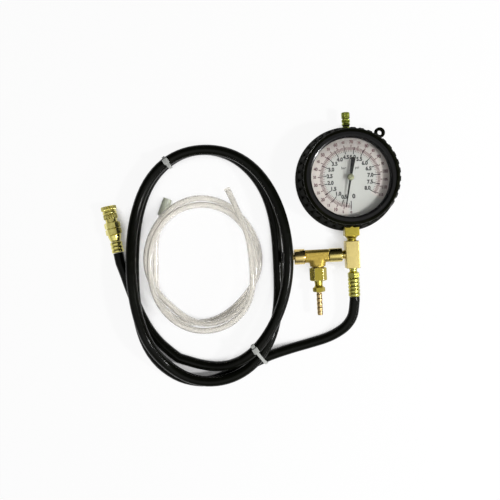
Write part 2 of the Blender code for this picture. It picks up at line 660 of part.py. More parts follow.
def make_bezel():
    lip_floor = BEZEL_FRONT_HEIGHT - BEZEL_LIP_THICKNESS
    profile = [
        (BEZEL_OPENING_RADIUS, lip_floor),
        (BEZEL_OPENING_RADIUS, lip_floor + BEZEL_LIP_THICKNESS / 2),
        (BEZEL_OPENING_RADIUS + BEZEL_SHEET, BEZEL_FRONT_HEIGHT),
        (BEZEL_RADIUS - BEZEL_SHEET, BEZEL_FRONT_HEIGHT),
        (BEZEL_RADIUS, BEZEL_FRONT_HEIGHT - BEZEL_SHEET),
        (BEZEL_RADIUS, BEZEL_SKIRT_END),
        (BEZEL_INNER_RADIUS, BEZEL_SKIRT_END),
        (BEZEL_INNER_RADIUS, lip_floor),
    ]
    return smooth(turned("bezel_ring", profile, BLACK_STEEL, steps=FINE, ring=True))


DIAL_FACE = DIAL_HEIGHT + DIAL_THICKNESS


def disc(name, radius, bore, low, high, finish, steps=FINE):
    profile = [(bore, high), (radius, high), (radius, low), (bore, low)]
    return smooth(turned(name, profile, finish, steps=steps, ring=bore > 0.0))


def make_window():
    disc("lens", BEZEL_INNER_RADIUS - GAP, 0.0, LENS_FLOOR, LENS_FLOOR + LENS_THICKNESS, CLEAR)
    disc("lens_gasket", BEZEL_INNER_RADIUS - GAP, BEZEL_OPENING_RADIUS + GASKET_SETBACK,
         CASE_RIM_HEIGHT + GAP, LENS_FLOOR - GAP, RUBBER)
    disc("dial_plate", CASE_INNER_RADIUS - GAP, DIAL_HOLE_RADIUS, DIAL_HEIGHT, DIAL_FACE, WHITE_DIAL)
    disc("dial_ring", CASE_INNER_RADIUS - GAP, CASE_INNER_RADIUS - GAP - DIAL_RING_WALL,
         DIAL_FACE + GAP, CASE_RIM_HEIGHT, BLACK_PLASTIC)


# Stem socket, tee block and vent screw

STEM_AXIS = Vector((0.0, 0.0, STEM_HEIGHT))


def make_socket():
    half = SOCKET_WIDTH / 2
    floor = CASE_FLOOR + CASE_SHEET + GAP
    socket = adopt("stem_socket", box_mesh((-half, SOCKET_BOTTOM, floor),
                                           (half, SOCKET_TOP, STEM_HEIGHT + SOCKET_RISE)), BRASS)
    join(socket, adopt("tongue", box_mesh((-half, SOCKET_TOP - OVERRUN, floor),
                                          (half, TONGUE_REACH, TONGUE_TOP)), BRASS))
    join(socket, cylinder("neck", NECK_RADIUS, -SOCKET_BOTTOM - OVERRUN, -FLATS_START + OVERRUN,
                          STEM_AXIS, DOWN_THE_STEM, ROUND))
    flat = FLATS_WIDTH / 2
    join(socket, adopt("flats", box_mesh((-flat, FLATS_END, STEM_HEIGHT - flat),
                                         (flat, FLATS_START, STEM_HEIGHT + flat)), BRASS))
    join(socket, cylinder("thread", STEM_THREAD_RADIUS, -FLATS_END - OVERRUN,
                          -BLOCK_START + THREAD_GRIP, STEM_AXIS, DOWN_THE_STEM, ROUND))
    for x, y in CASE_SCREW_PLACES:
        cut(socket, cylinder("case_screw_hole", SCREW_SHANK_RADIUS + GAP, floor - OVERRUN,
                             CASE_FLOOR + CASE_SCREW_LENGTH + GAP, (x, y, 0.0)))
    for x, y in MOVEMENT_SCREW_PLACES:
        cut(socket, cylinder("movement_screw_hole", STUD_RADIUS + GAP,
                             BACK_PLATE_HEIGHT + PLATE_THICKNESS - MOVEMENT_SCREW_LENGTH,
                             TONGUE_TOP + OVERRUN, (x, y, 0.0)))
    return socket


def make_block():
    half = BLOCK_WIDTH / 2
    block = adopt("tee_block", box_mesh((-half, BLOCK_END, STEM_HEIGHT - half),
                                        (half, BLOCK_START, STEM_HEIGHT + half)), BRASS)
    edge = block.modifiers.new("edges", "BEVEL")
    edge.width = BLOCK_EDGE
    edge.segments = 2
    cut(block, cylinder("stem_port", STEM_THREAD_RADIUS + GAP, -BLOCK_START - OVERRUN,
                        -BLOCK_START + THREAD_GRIP + GAP, STEM_AXIS, DOWN_THE_STEM, ROUND))
    cut(block, cylinder("hose_port", NIPPLE_RADIUS + GAP, -BLOCK_END - THREAD_GRIP - GAP,
                        -BLOCK_END + OVERRUN, STEM_AXIS, DOWN_THE_STEM, ROUND))
    cut(block, cylinder("side_port", UNION_THREAD_RADIUS + GAP, half - UNION_GRIP - GAP,
                        half + OVERRUN, (0.0, SIDE_PORT, STEM_HEIGHT), ALONG_BRANCH, ROUND))
    return block


def make_vent():
    flange_end = CASE_INNER_RADIUS - VENT_FLANGE_THICKNESS / 2
    shank_end = VENT_NECK_END - VENT_SHANK_LENGTH
    bush = turned("vent_bush", [
        (0.0, shank_end - GAP), (VENT_SHANK_RADIUS + GAP, shank_end - GAP),
        (VENT_SHANK_RADIUS + GAP, VENT_NECK_END), (VENT_NECK_RADIUS, VENT_NECK_END),
        (VENT_NECK_RADIUS, flange_end), (VENT_FLANGE_RADIUS, flange_end),
        (VENT_FLANGE_RADIUS, flange_end - VENT_FLANGE_THICKNESS),
        (0.0, flange_end - VENT_FLANGE_THICKNESS),
    ], BRASS, STEM_AXIS, UP_THE_STEM, SMALL)
    smooth(bush)
    seal_end = VENT_NECK_END + GAP + VENT_SEAL_THICKNESS
    smooth(turned("vent_seal", [
        (VENT_SHANK_RADIUS + GAP, seal_end), (VENT_NECK_RADIUS, seal_end),
        (VENT_NECK_RADIUS, VENT_NECK_END + GAP), (VENT_SHANK_RADIUS + GAP, VENT_NECK_END + GAP),
    ], RUBBER, STEM_AXIS, UP_THE_STEM, SMALL, ring=True))
    foot = seal_end + GAP
    top = foot + VENT_CAP_LENGTH
    waist = VENT_CAP_RADIUS - 2 * VENT_KNURL_DEPTH
    marks = [foot + VENT_CAP_LENGTH * share for share in (0.16, 0.24, 0.44, 0.54)]
    cap = turned("vent_cap", [
        (0.0, top), (waist, top), (VENT_CAP_RADIUS, top - VENT_KNURL_DEPTH * 2),
        (VENT_CAP_RADIUS, marks[3]), (waist, marks[3]), (waist, marks[2]),
        (VENT_CAP_RADIUS, marks[2]), (VENT_CAP_RADIUS, marks[1]), (waist, marks[1]),
        (waist, marks[0]), (VENT_CAP_RADIUS, marks[0]), (VENT_CAP_RADIUS, foot),
        (VENT_SHANK_RADIUS, foot), (VENT_SHANK_RADIUS, shank_end), (0.0, shank_end),
    ], BRASS, STEM_AXIS, UP_THE_STEM, 3 * VENT_KNURL_COUNT)
    return smooth(grooved(cap, VENT_KNURL_COUNT, VENT_KNURL_DEPTH, marks[3] - GAP, top - GAP,
                          waist + VENT_KNURL_DEPTH))


# Movement

PIVOT_DISTANCE = SECTOR_RADIUS + PINION_RADIUS
PIVOT = Vector((math.cos(PIVOT_ANGLE), math.sin(PIVOT_ANGLE), 0.0)) * PIVOT_DISTANCE
SECTOR_SWEEP = POINTER_SWEEP / GEAR_RATIO
TAIL_PIN = PIVOT * ((PIVOT_DISTANCE + SECTOR_TAIL) / PIVOT_DISTANCE)
TUBE_END_ANGLE = BOURDON_END + (TUBE_END_LENGTH / 2 + GAP) / BOURDON_RADIUS
TUBE_END_PLACE = Vector((math.cos(TUBE_END_ANGLE), math.sin(TUBE_END_ANGLE), 0.0)) * BOURDON_RADIUS
GEAR_TOP = GEAR_HEIGHT + GEAR_THICKNESS
PILLAR_TOP = FRONT_PLATE_HEIGHT - GAP
HOLE_RADIUS = STUD_RADIUS + GAP


def rectangle(low, high):
    return [(low, low), (high, low), (high, high), (low, high)]


def make_plates():
    bearings = [((0.0, 0.0), SHAFT_RADIUS + RUNNING_GAP), ((PIVOT.x, PIVOT.y), SHAFT_RADIUS + RUNNING_GAP)]
    studs = [(place, HOLE_RADIUS) for place in PILLAR_PLACES]
    screws = [(place, HOLE_RADIUS) for place in MOVEMENT_SCREW_PLACES]
    for name, floor, holes in (("movement_back_plate", BACK_PLATE_HEIGHT, bearings + studs + screws),
                               ("movement_front_plate", FRONT_PLATE_HEIGHT, bearings + studs)):
        outlines = [rectangle(PLATE_LOW, PLATE_HIGH)]
        outlines += [circle(place, radius) for place, radius in holes]
        adopt(name, plate_mesh(outlines, floor, floor + PLATE_THICKNESS), BRASS)


def make_pillars():
    foot = BACK_PLATE_HEIGHT + PLATE_THICKNESS + GAP
    stud_foot = BACK_PLATE_HEIGHT + GAP
    dial_end = DIAL_HEIGHT - GAP
    pillar = turned_mesh([
        (0.0, dial_end), (STUD_RADIUS, dial_end), (STUD_RADIUS, PILLAR_TOP),
        (PILLAR_RADIUS, PILLAR_TOP), (PILLAR_RADIUS, foot), (STUD_RADIUS, foot),
        (STUD_RADIUS, stud_foot), (0.0, stud_foot),
    ])
    copies("movement_pillar", pillar, BRASS, [Vector((x, y, 0.0)) for x, y in PILLAR_PLACES])


def make_small_screws():
    copies("case_screw", case_screw_mesh(0.0), STEEL,
           [Vector((x, y, 0.0)) for x, y in CASE_SCREW_PLACES])
    seat = BACK_PLATE_HEIGHT + PLATE_THICKNESS + GAP
    head = seat + SCREW_HEAD_THICKNESS
    foot = seat - MOVEMENT_SCREW_LENGTH
    mesh = turned_mesh([
        (0.0, head), (2 * STUD_RADIUS, head), (2 * STUD_RADIUS, seat), (STUD_RADIUS, seat),
        (STUD_RADIUS, foot), (0.0, foot),
    ])
    copies("movement_screw", mesh, STEEL, [Vector((x, y, 0.0)) for x, y in MOVEMENT_SCREW_PLACES])


def toothed_arc(centre, radius, start, end, teeth, depth):
    """Points of a toothed edge, from one angle to another."""
    points = []
    for i in range(2 * teeth + 1):
        angle = start + (end - start) * i / (2 * teeth)
        reach = radius - (depth if i % 2 else 0.0)
        points.append((centre.x + reach * math.cos(angle), centre.y + reach * math.sin(angle)))
    return points


def make_sector():
    """The toothed sector on its own shaft; its origin is on the shaft's axis."""
    contact = PIVOT_ANGLE - math.pi
    start = contact - SECTOR_SWEEP - SECTOR_MARGIN
    end = contact + SECTOR_MARGIN
    tip = SECTOR_RADIUS - TOOTH_DEPTH / 2
    centre = Vector((0.0, 0.0))
    outline = toothed_arc(centre, tip, start, end, SECTOR_TEETH, TOOTH_DEPTH)
    inner = SECTOR_RADIUS - SECTOR_RIM_WIDTH
    span = SECTOR_ARM_WIDTH / inner
    outline.append((inner * math.cos(end), inner * math.sin(end)))
    middle = (start + end) / 2
    outline.append((inner * math.cos(middle + span), inner * math.sin(middle + span)))
    outline.append((SECTOR_HUB_RADIUS * math.cos(middle + 1), SECTOR_HUB_RADIUS * math.sin(middle + 1)))
    tail = PIVOT_ANGLE
    wide = SECTOR_ARM_WIDTH / 2
    side = Vector((-math.sin(tail), math.cos(tail), 0.0)) * wide
    reach = Vector((math.cos(tail), math.sin(tail), 0.0)) * (SECTOR_TAIL + wide)
    outline.append(((reach - side).x, (reach - side).y))
    outline.append(((reach + side).x, (reach + side).y))
    outline.append((SECTOR_HUB_RADIUS * math.cos(middle - 1), SECTOR_HUB_RADIUS * math.sin(middle - 1)))
    outline.append((inner * math.cos(middle - span), inner * math.sin(middle - span)))
    outline.append((inner * math.cos(start), inner * math.sin(start)))
    sector = adopt("sector_gear", plate_mesh([outline], GEAR_HEIGHT, GEAR_TOP), BRASS, PIVOT)
    shaft_floor = BACK_PLATE_HEIGHT - GAP
    shaft_top = FRONT_PLATE_HEIGHT + PLATE_THICKNESS + GAP
    hub_rise = GEAR_THICKNESS / 2
    hub = turned("sector_hub", [
        (0.0, shaft_top), (SHAFT_RADIUS, shaft_top), (SHAFT_RADIUS, GEAR_TOP + hub_rise),
        (SECTOR_HUB_RADIUS, GEAR_TOP + hub_rise), (SECTOR_HUB_RADIUS, GEAR_HEIGHT - hub_rise),
        (SHAFT_RADIUS, GEAR_HEIGHT - hub_rise), (SHAFT_RADIUS, shaft_floor), (0.0, shaft_floor),
    ], BRASS, PIVOT, steps=SMALL)
    join(sector, hub)
    join(sector, cylinder("tail_pin", PIN_RADIUS, GEAR_TOP - GEAR_THICKNESS / 2, GEAR_TOP + PIN_RISE,
                          TAIL_PIN))
    return sector


def make_pointer():
    """Pointer shaft with its pinion, black pointer and hub, all on the dial's axis."""
    pinion_low, pinion_high = GEAR_HEIGHT - GAP, GEAR_TOP + GAP
    tip = PINION_RADIUS - TOOTH_DEPTH / 2
    ring = toothed_arc(Vector((0.0, 0.0)), tip, 0.0, 2 * math.pi, PINION_TEETH, TOOTH_DEPTH)[:-1]
    shaft = adopt("pointer_shaft", plate_mesh([ring], pinion_low, pinion_high), STEEL)
    hub_floor = POINTER_HEIGHT + POINTER_THICKNESS + GAP
    join(shaft, cylinder("shaft", SHAFT_RADIUS, BACK_PLATE_HEIGHT - GAP,
                         hub_floor + POINTER_HUB_THICKNESS / 2))
    hole = SHAFT_RADIUS + GAP
    smooth(turned("pointer_hub", [
        (0.0, hub_floor + POINTER_HUB_THICKNESS / 2 + GAP),
        (hole, hub_floor + POINTER_HUB_THICKNESS / 2 + GAP), (hole, hub_floor),
        (POINTER_HUB_RADIUS, hub_floor),
        (POINTER_HUB_RADIUS, hub_floor + POINTER_HUB_THICKNESS),
        (0.0, hub_floor + POINTER_HUB_THICKNESS),
    ][::-1], BRASS, steps=ROUND))
    half = POINTER_TAIL_WIDTH / 2
    slim = half * 0.45
    blade = [
        (POINTER_LENGTH, GAP / 2), (2 * POINTER_HUB_RADIUS, slim), (POINTER_HUB_RADIUS, slim),
        (-POINTER_HUB_RADIUS, slim * 1.4), (-POINTER_TAIL + half, half), (-POINTER_TAIL, half),
    ]
    blade += [(x, -y) for x, y in reversed(blade)]
    mesh = plate_mesh([blade], POINTER_HEIGHT, POINTER_HEIGHT + POINTER_THICKNESS)
    mesh.transform(Matrix.Rotation(POINTER_REST_ANGLE, 4, "Z"))
    pointer = adopt("pointer", mesh, BLACK_STEEL)
    join(pointer, cylinder("pointer_ring", POINTER_HUB_RADIUS - 2 * GAP, POINTER_HEIGHT,
                           POINTER_HEIGHT + POINTER_THICKNESS, steps=20))
    cut(pointer, cylinder("pointer_hole", hole, POINTER_HEIGHT - OVERRUN,
                          POINTER_HEIGHT + POINTER_THICKNESS + OVERRUN))
    return shaft


def make_bourdon_tube():
    def build(shape):
        ring = bmesh.ops.create_circle(shape, cap_ends=False, segments=SMALL, radius=0.5)
        size = Matrix.Diagonal((BOURDON_WIDTH, 1.0, BOURDON_DEPTH, 1.0))
        stand = Matrix.Rotation(math.radians(90.0), 4, "X")
        place = Matrix.Translation((BOURDON_RADIUS, 0.0, STEM_HEIGHT))
        bmesh.ops.transform(shape, matrix=place @ size @ stand, verts=ring["verts"])
        bmesh.ops.rotate(shape, verts=shape.verts, cent=(0.0, 0.0, 0.0),
                         matrix=Matrix.Rotation(BOURDON_START, 3, "Z"))
        bmesh.ops.spin(shape, geom=shape.verts[:] + shape.edges[:], cent=(0.0, 0.0, 0.0),
                       axis=UP, angle=BOURDON_END - BOURDON_START, steps=BOURDON_STEPS, use_duplicate=False)
        bmesh.ops.holes_fill(shape, edges=[edge for edge in shape.edges if edge.is_boundary])
    smooth(adopt("bourdon_tube", shape_mesh(build), COPPER_BRASS))
    half = TUBE_END_WIDTH / 2
    end_mesh = box_mesh((-half, -TUBE_END_LENGTH / 2, TUBE_END_FLOOR),
                        (half, TUBE_END_LENGTH / 2, GEAR_TOP))
    end_mesh.transform(Matrix.Translation(TUBE_END_PLACE) @ Matrix.Rotation(TUBE_END_ANGLE, 4, "Z"))
    tube_end = adopt("tube_end", end_mesh, BRASS)
    join(tube_end, cylinder("tube_end_pin", PIN_RADIUS, GEAR_TOP - OVERRUN, GEAR_TOP + PIN_RISE,
                            TUBE_END_PLACE))


def make_link():
    """The flat link from the tube's end to the sector's tail; its origin is on the tail's pin."""
    reach = TUBE_END_PLACE - TAIL_PIN
    turn = math.atan2(reach.y, reach.x)
    steps = 8
    outline = []
    for centre, facing in ((reach, turn), (Vector(), turn + math.pi)):
        for i in range(steps + 1):
            angle = facing - math.pi / 2 + math.pi * i / steps
            outline.append((centre.x + LINK_WIDTH / 2 * math.cos(angle),
                            centre.y + LINK_WIDTH / 2 * math.sin(angle)))
    hole = PIN_RADIUS + GAP
    holes = [circle((0.0, 0.0), hole), circle((reach.x, reach.y), hole)]
    low = GEAR_TOP + GAP
    mesh = plate_mesh([outline] + holes, low, low + LINK_THICKNESS)
    return adopt("movement_link", mesh, BRASS, TAIL_PIN)


def tube(name, points, radius, finish, sides_level):
    """A round solid along points, with flat capped ends."""
    curve = bpy.data.curves.new(name, "CURVE")
    curve.dimensions = "3D"
    curve.bevel_depth = radius
    curve.bevel_resolution = sides_level
    curve.use_fill_caps = True
    spline = curve.splines.new("POLY")
    spline.points.add(len(points) - 1)
    for point, place in zip(spline.points, points):
        point.co = (*place, 1.0)
    obj = bpy.data.objects.new(name, curve)
    curve.materials.append(finish)
    PARTS.objects.link(obj)
    return obj


def make_hairspring():
    points = []
    steps = 12
    for i in range(HAIRSPRING_TURNS * steps + 1):
        turn = i / steps
        radius = HAIRSPRING_INNER + HAIRSPRING_PITCH * turn
        points.append(Vector((radius * math.cos(2 * math.pi * turn),
                              radius * math.sin(2 * math.pi * turn), HAIRSPRING_HEIGHT)))
    tube("hairspring", points, HAIRSPRING_WIRE, STEEL, 0)


# Side branch

def along_branch(x):
    """Distance down the branch from the stem's axis."""
    return -x


BRANCH_AXIS = Vector((0.0, SIDE_PORT, STEM_HEIGHT))
DROP_AXIS = Vector((BRANCH_X, 0.0, STEM_HEIGHT))


def make_union():
    tip = BLOCK_WIDTH / 2 - UNION_GRIP
    start, end = along_branch(UNION_START), along_branch(UNION_END)
    return smooth(turned("union_collar", [
        (UNION_BORE_RADIUS, end), (UNION_RADIUS - VALVE_EDGE, end), (UNION_RADIUS, end - VALVE_EDGE),
        (UNION_RADIUS, start + VALVE_EDGE), (UNION_RADIUS - VALVE_EDGE, start),
        (UNION_THREAD_RADIUS, start), (UNION_THREAD_RADIUS, tip), (UNION_BORE_RADIUS, tip),
    ], BRASS, BRANCH_AXIS, ALONG_BRANCH, ROUND, ring=True))


def make_forged_tee():
    start, end = along_branch(UNION_END) + GAP, along_branch(RUN_END)
    tee = cylinder("forged_tee", RUN_RADIUS, start, end, BRANCH_AXIS, ALONG_BRANCH, ROUND)
    join(tee, cylinder("branch_neck", BRANCH_NECK_RADIUS, -SIDE_PORT, -BRANCH_COLLAR_START + OVERRUN,
                       DROP_AXIS, DOWN_THE_STEM, ROUND))
    join(tee, cylinder("branch_collar", BRANCH_COLLAR_RADIUS, -BRANCH_COLLAR_START,
                       -BRANCH_COLLAR_END, DROP_AXIS, DOWN_THE_STEM, ROUND))
    cut(tee, cylinder("run_bore", RUN_BORE_RADIUS, start - OVERRUN, end + OVERRUN,
                      BRANCH_AXIS, ALONG_BRANCH))
    cut(tee, cylinder("branch_bore", RUN_BORE_RADIUS, -SIDE_PORT, -BRANCH_COLLAR_END + OVERRUN,
                      DROP_AXIS, DOWN_THE_STEM))
    return smooth(tee)


def make_relief_valve():
    start, end = along_branch(RUN_END) + GAP, along_branch(VALVE_END)
    chamber, neck = along_branch(VALVE_CHAMBER_END), along_branch(VALVE_NECK_END)
    rod_hole = POPPET_ROD_RADIUS + GAP
    smooth(turned("relief_valve_body", [
        (rod_hole, chamber), (rod_hole, neck), (VALVE_NECK_RADIUS, neck), (VALVE_NECK_RADIUS, end),
        (VALVE_RADIUS - VALVE_EDGE, end), (VALVE_RADIUS, end - VALVE_EDGE),
        (VALVE_RADIUS, start + VALVE_EDGE), (VALVE_RADIUS - VALVE_EDGE, start),
        (VALVE_CHAMBER_RADIUS, start), (VALVE_CHAMBER_RADIUS, chamber),
    ], COPPER_BRASS, BRANCH_AXIS, ALONG_BRANCH, ROUND, ring=True))
    mouth, face = along_branch(BUTTON_MOUTH), along_branch(BUTTON_END)
    cavity = BUTTON_RADIUS - BUTTON_WALL
    cavity_end = face - BUTTON_FACE
    rod_end = cavity_end - GAP
    smooth(turned("relief_button", [
        (0.0, face), (BUTTON_RADIUS - VALVE_EDGE, face), (BUTTON_RADIUS, face - VALVE_EDGE),
        (BUTTON_RADIUS, mouth), (cavity, mouth), (cavity, cavity_end), (0.0, cavity_end),
    ], BLACK_PLASTIC, BRANCH_AXIS, ALONG_BRANCH, ROUND))
    seal_end = chamber - GAP
    seal_start = seal_end - POPPET_SEAL_THICKNESS
    disc_end = seal_start - GAP
    smooth(turned("relief_poppet", [
        (0.0, rod_end), (POPPET_ROD_RADIUS, rod_end), (POPPET_ROD_RADIUS, disc_end),
        (POPPET_RADIUS, disc_end), (POPPET_RADIUS, disc_end - POPPET_THICKNESS),
        (0.0, disc_end - POPPET_THICKNESS),
    ], STEEL, BRANCH_AXIS, ALONG_BRANCH, SMALL))
    smooth(turned("relief_seal", [
        (rod_hole, seal_end), (POPPET_RADIUS, seal_end), (POPPET_RADIUS, seal_start),
        (rod_hole, seal_start),
    ], RUBBER, BRANCH_AXIS, ALONG_BRANCH, SMALL, ring=True))
    spring_start = end + GAP + BUTTON_SPRING_WIRE
    spring_end = cavity_end - GAP - BUTTON_SPRING_WIRE
    steps = 10
    points = []
    for i in range(BUTTON_SPRING_TURNS * steps + 1):
        turn = i / steps
        run = spring_start + (spring_end - spring_start) * turn / BUTTON_SPRING_TURNS
        angle = 2 * math.pi * turn
        points.append(BRANCH_AXIS + Vector((-run, BUTTON_SPRING_RADIUS * math.cos(angle),
                                            BUTTON_SPRING_RADIUS * math.sin(angle))))
    tube("button_spring", points, BUTTON_SPRING_WIRE, STEEL, 0)


def make_bleed_barb():
    nut = adopt("branch_nut", prism_mesh(NUT_CORNER_RADIUS, -NUT_START, -NUT_END, 6, FLAT_UP), BRASS,
                DROP_AXIS, DOWN_THE_STEM)
    cut(nut, cylinder("nut_bore", BARB_HEAD_RADIUS + GAP, -NUT_START - OVERRUN,
                      -NUT_END + OVERRUN, DROP_AXIS, DOWN_THE_STEM, ROUND))
    head_start = -NUT_START + GAP
    ridge = (-BARB_END + BARB_HEX_END) / BARB_RIDGES
    outline = [(BARB_BORE_RADIUS, -BARB_END)]
    for i in range(BARB_RIDGES):
        foot = -BARB_END - ridge * i
        taper = BARB_GROOVE * (1.0 if i == 0 else 0.0)
        outline.append((BARB_RADIUS - BARB_GROOVE - taper / 2, foot))
        outline.append((BARB_RADIUS - taper / 2, foot - ridge * 0.7))
        outline.append((BARB_RADIUS - BARB_GROOVE - taper / 2, foot - ridge * 0.85))
    outline += [
        (BARB_RADIUS - BARB_GROOVE, -BARB_NECK_END + OVERRUN), (BARB_HEAD_RADIUS, -BARB_NECK_END + OVERRUN),
        (BARB_HEAD_RADIUS, head_start), (BARB_BORE_RADIUS, head_start),
    ]
    barb = turned("hose_barb", outline, BRASS, DROP_AXIS, DOWN_THE_STEM, ROUND, ring=True)
    hexagon = adopt("barb_hex", prism_mesh(BARB_HEX_RADIUS, -BARB_NECK_END, -BARB_HEX_END, 6,
                                             FLAT_UP), BRASS, DROP_AXIS, DOWN_THE_STEM)
    cut(hexagon, cylinder("barb_hex_bore", BARB_BORE_RADIUS + GAP, -BARB_NECK_END - OVERRUN,
                          -BARB_HEX_END + OVERRUN, DROP_AXIS, DOWN_THE_STEM))
    return smooth(join(barb, hexagon))


# Hose nipple, ferrules and hose

def ferrule_profile(radius, bore, start, end, rings, groove):
    """A crimped sleeve with grooves between its rings."""
    pitch = (end - start) / rings
    outline = [(bore, end)]
    for i in range(rings):
        top = end - pitch * i
        outline.append((radius - groove, top))
        outline.append((radius, top - pitch * 0.25))
        outline.append((radius, top - pitch * 0.75))
    outline.append((radius - groove, start))
    outline.append((bore, start))
    return outline


def make_nipple():
    tip = -BLOCK_END - THREAD_GRIP
    nipple = turned("hose_nipple", [
        (NIPPLE_BORE_RADIUS, -NIPPLE_HEX_END + OVERRUN), (NIPPLE_RADIUS, -NIPPLE_HEX_END + OVERRUN),
        (NIPPLE_RADIUS, tip), (NIPPLE_BORE_RADIUS, tip),
    ], COPPER_BRASS, STEM_AXIS, DOWN_THE_STEM, ROUND, ring=True)
    hexagon = adopt("nipple_hex", prism_mesh(NIPPLE_HEX_RADIUS, -NIPPLE_HEX_START, -NIPPLE_HEX_END, 6),
                    BRASS, STEM_AXIS, DOWN_THE_STEM)
    cut(hexagon, cylinder("nipple_hex_bore", NIPPLE_BORE_RADIUS + GAP, -NIPPLE_HEX_START - OVERRUN,
                          -NIPPLE_HEX_END + OVERRUN, STEM_AXIS, DOWN_THE_STEM))
    smooth(join(nipple, hexagon))
    smooth(turned("gauge_ferrule", ferrule_profile(
        FERRULE_RADIUS, NIPPLE_RADIUS + GAP, -NIPPLE_HEX_END + GAP, -FERRULE_END, FERRULE_RINGS,
        FERRULE_GROOVE), BRASS, STEM_AXIS, DOWN_THE_STEM, ROUND, ring=True))


def eased(keys, at):
    """A value that eases from one key to the next and rests at each."""
    if at <= keys[0][0]:
        return keys[0][1]
    for (start, low), (end, high) in zip(keys, keys[1:]):
        if at <= end:
            share = (1 - math.cos(math.pi * (at - start) / (end - start))) / 2
            return low + (high - low) * share
    return keys[-1][1]


def flowing(keys, at):
    """A value on a smooth curve through the keys."""
    i = 1
    while i < len(keys) - 3 and at > keys[i + 1][0]:
        i += 1
    (x0, y0), (x1, y1), (x2, y2), (x3, y3) = keys[i - 1:i + 3]
    slope1, slope2 = (y2 - y0) / (x2 - x0), (y3 - y1) / (x3 - x1)
    span = x2 - x1
    t = (at - x1) / span
    return ((2 * t ** 3 - 3 * t ** 2 + 1) * y1 + (t ** 3 - 2 * t ** 2 + t) * span * slope1
            + (3 * t ** 2 - 2 * t ** 3) * y2 + (t ** 3 - t ** 2) * span * slope2)


def wound_point(turn, centre, half_width, half_height, reach_shares, floor, layer_shares, layer):
    """A place on a wound tube: turns run clockwise from the bottom, as seen from above."""
    angle = 2 * math.pi * turn
    reach = flowing(reach_shares, turn)
    return Vector((centre[0] - half_width * reach * math.sin(angle),
                   centre[1] - half_height * reach * math.cos(angle),
                   floor + layer * eased(layer_shares, turn)))


def coil_point(turn):
    return wound_point(turn, COIL_CENTRE, COIL_HALF_WIDTH, COIL_HALF_HEIGHT, COIL_REACH_SHARES,
                       HOSE_RADIUS, COIL_LAYER_SHARES, 2 * HOSE_RADIUS + STRAND_GAP)


def drain_point(turn):
    return wound_point(turn, DRAIN_CENTRE, DRAIN_HALF_WIDTH, DRAIN_HALF_HEIGHT, DRAIN_REACH_SHARES,
                       DRAIN_RADIUS, DRAIN_LAYER_SHARES, 2 * DRAIN_RADIUS + STRAND_GAP)


def wound(place, start, finish, points_a_loop, straight):
    """Points along a wound tube whose two ends run straight."""
    count = round((finish - start) * points_a_loop)
    points = [place(start + (finish - start) * i / count) for i in range(count + 1)]
    nudge = 1 / (20 * points_a_loop)
    ahead = (place(start + nudge) - points[0]).normalized()
    behind = (points[-1] - place(finish - nudge)).normalized()
    points.insert(0, points[0] - ahead * straight)
    points.append(points[-1] + behind * straight)
    return points


def along_route(route, step):
    """Points a step apart on a smooth curve through a route's own points."""
    dense = []
    for i in range(len(route) - 1):
        before = route[max(i - 1, 0)]
        here, there = route[i], route[i + 1]
        after = route[min(i + 2, len(route) - 1)]
        for k in range(20):
            t = k / 20
            dense.append((2 * t ** 3 - 3 * t ** 2 + 1) * here
                         + (t ** 3 - 2 * t ** 2 + t) * (there - before) / 2
                         + (3 * t ** 2 - 2 * t ** 3) * there
                         + (t ** 3 - t ** 2) * (after - here) / 2)
    dense.append(route[-1])
    lengths = [0.0]
    for here, there in zip(dense, dense[1:]):
        lengths.append(lengths[-1] + (there - here).length)
    count = max(2, round(lengths[-1] / step))
    points, i = [], 0
    for k in range(count + 1):
        target = lengths[-1] * k / count
        while i < len(lengths) - 2 and lengths[i + 1] < target:
            i += 1
        share = (target - lengths[i]) / (lengths[i + 1] - lengths[i])
        points.append(dense[i].lerp(dense[i + 1], share))
    return points


def length_of(points):
    return sum((there - here).length for here, there in zip(points, points[1:]))


def along_chords(points, step):
    """Points a step apart along straight runs between points."""
    dense = []
    for here, there in zip(points, points[1:]):
        count = max(1, round((there - here).length / step))
        dense += [here.lerp(there, k / count) for k in range(count)]
    return dense + [points[-1]]


def least_gap(points, radius):
    """The least clear distance between two stretches of one tube that aren't neighbours."""
    dense = along_chords(points, radius / 2)
    apart = NEIGHBOUR_STEPS
    least = min((dense[i] - dense[k]).length
                for i in range(len(dense)) for k in range(i + apart, len(dense)))
    return least - 2 * radius


COUPLER_DIRECTION = Vector((-math.sin(COUPLER_LEAN), math.cos(COUPLER_LEAN), 0.0))
COUPLER_AXIS = Vector((*COUPLER_FOOT, COUPLER_HEIGHT))


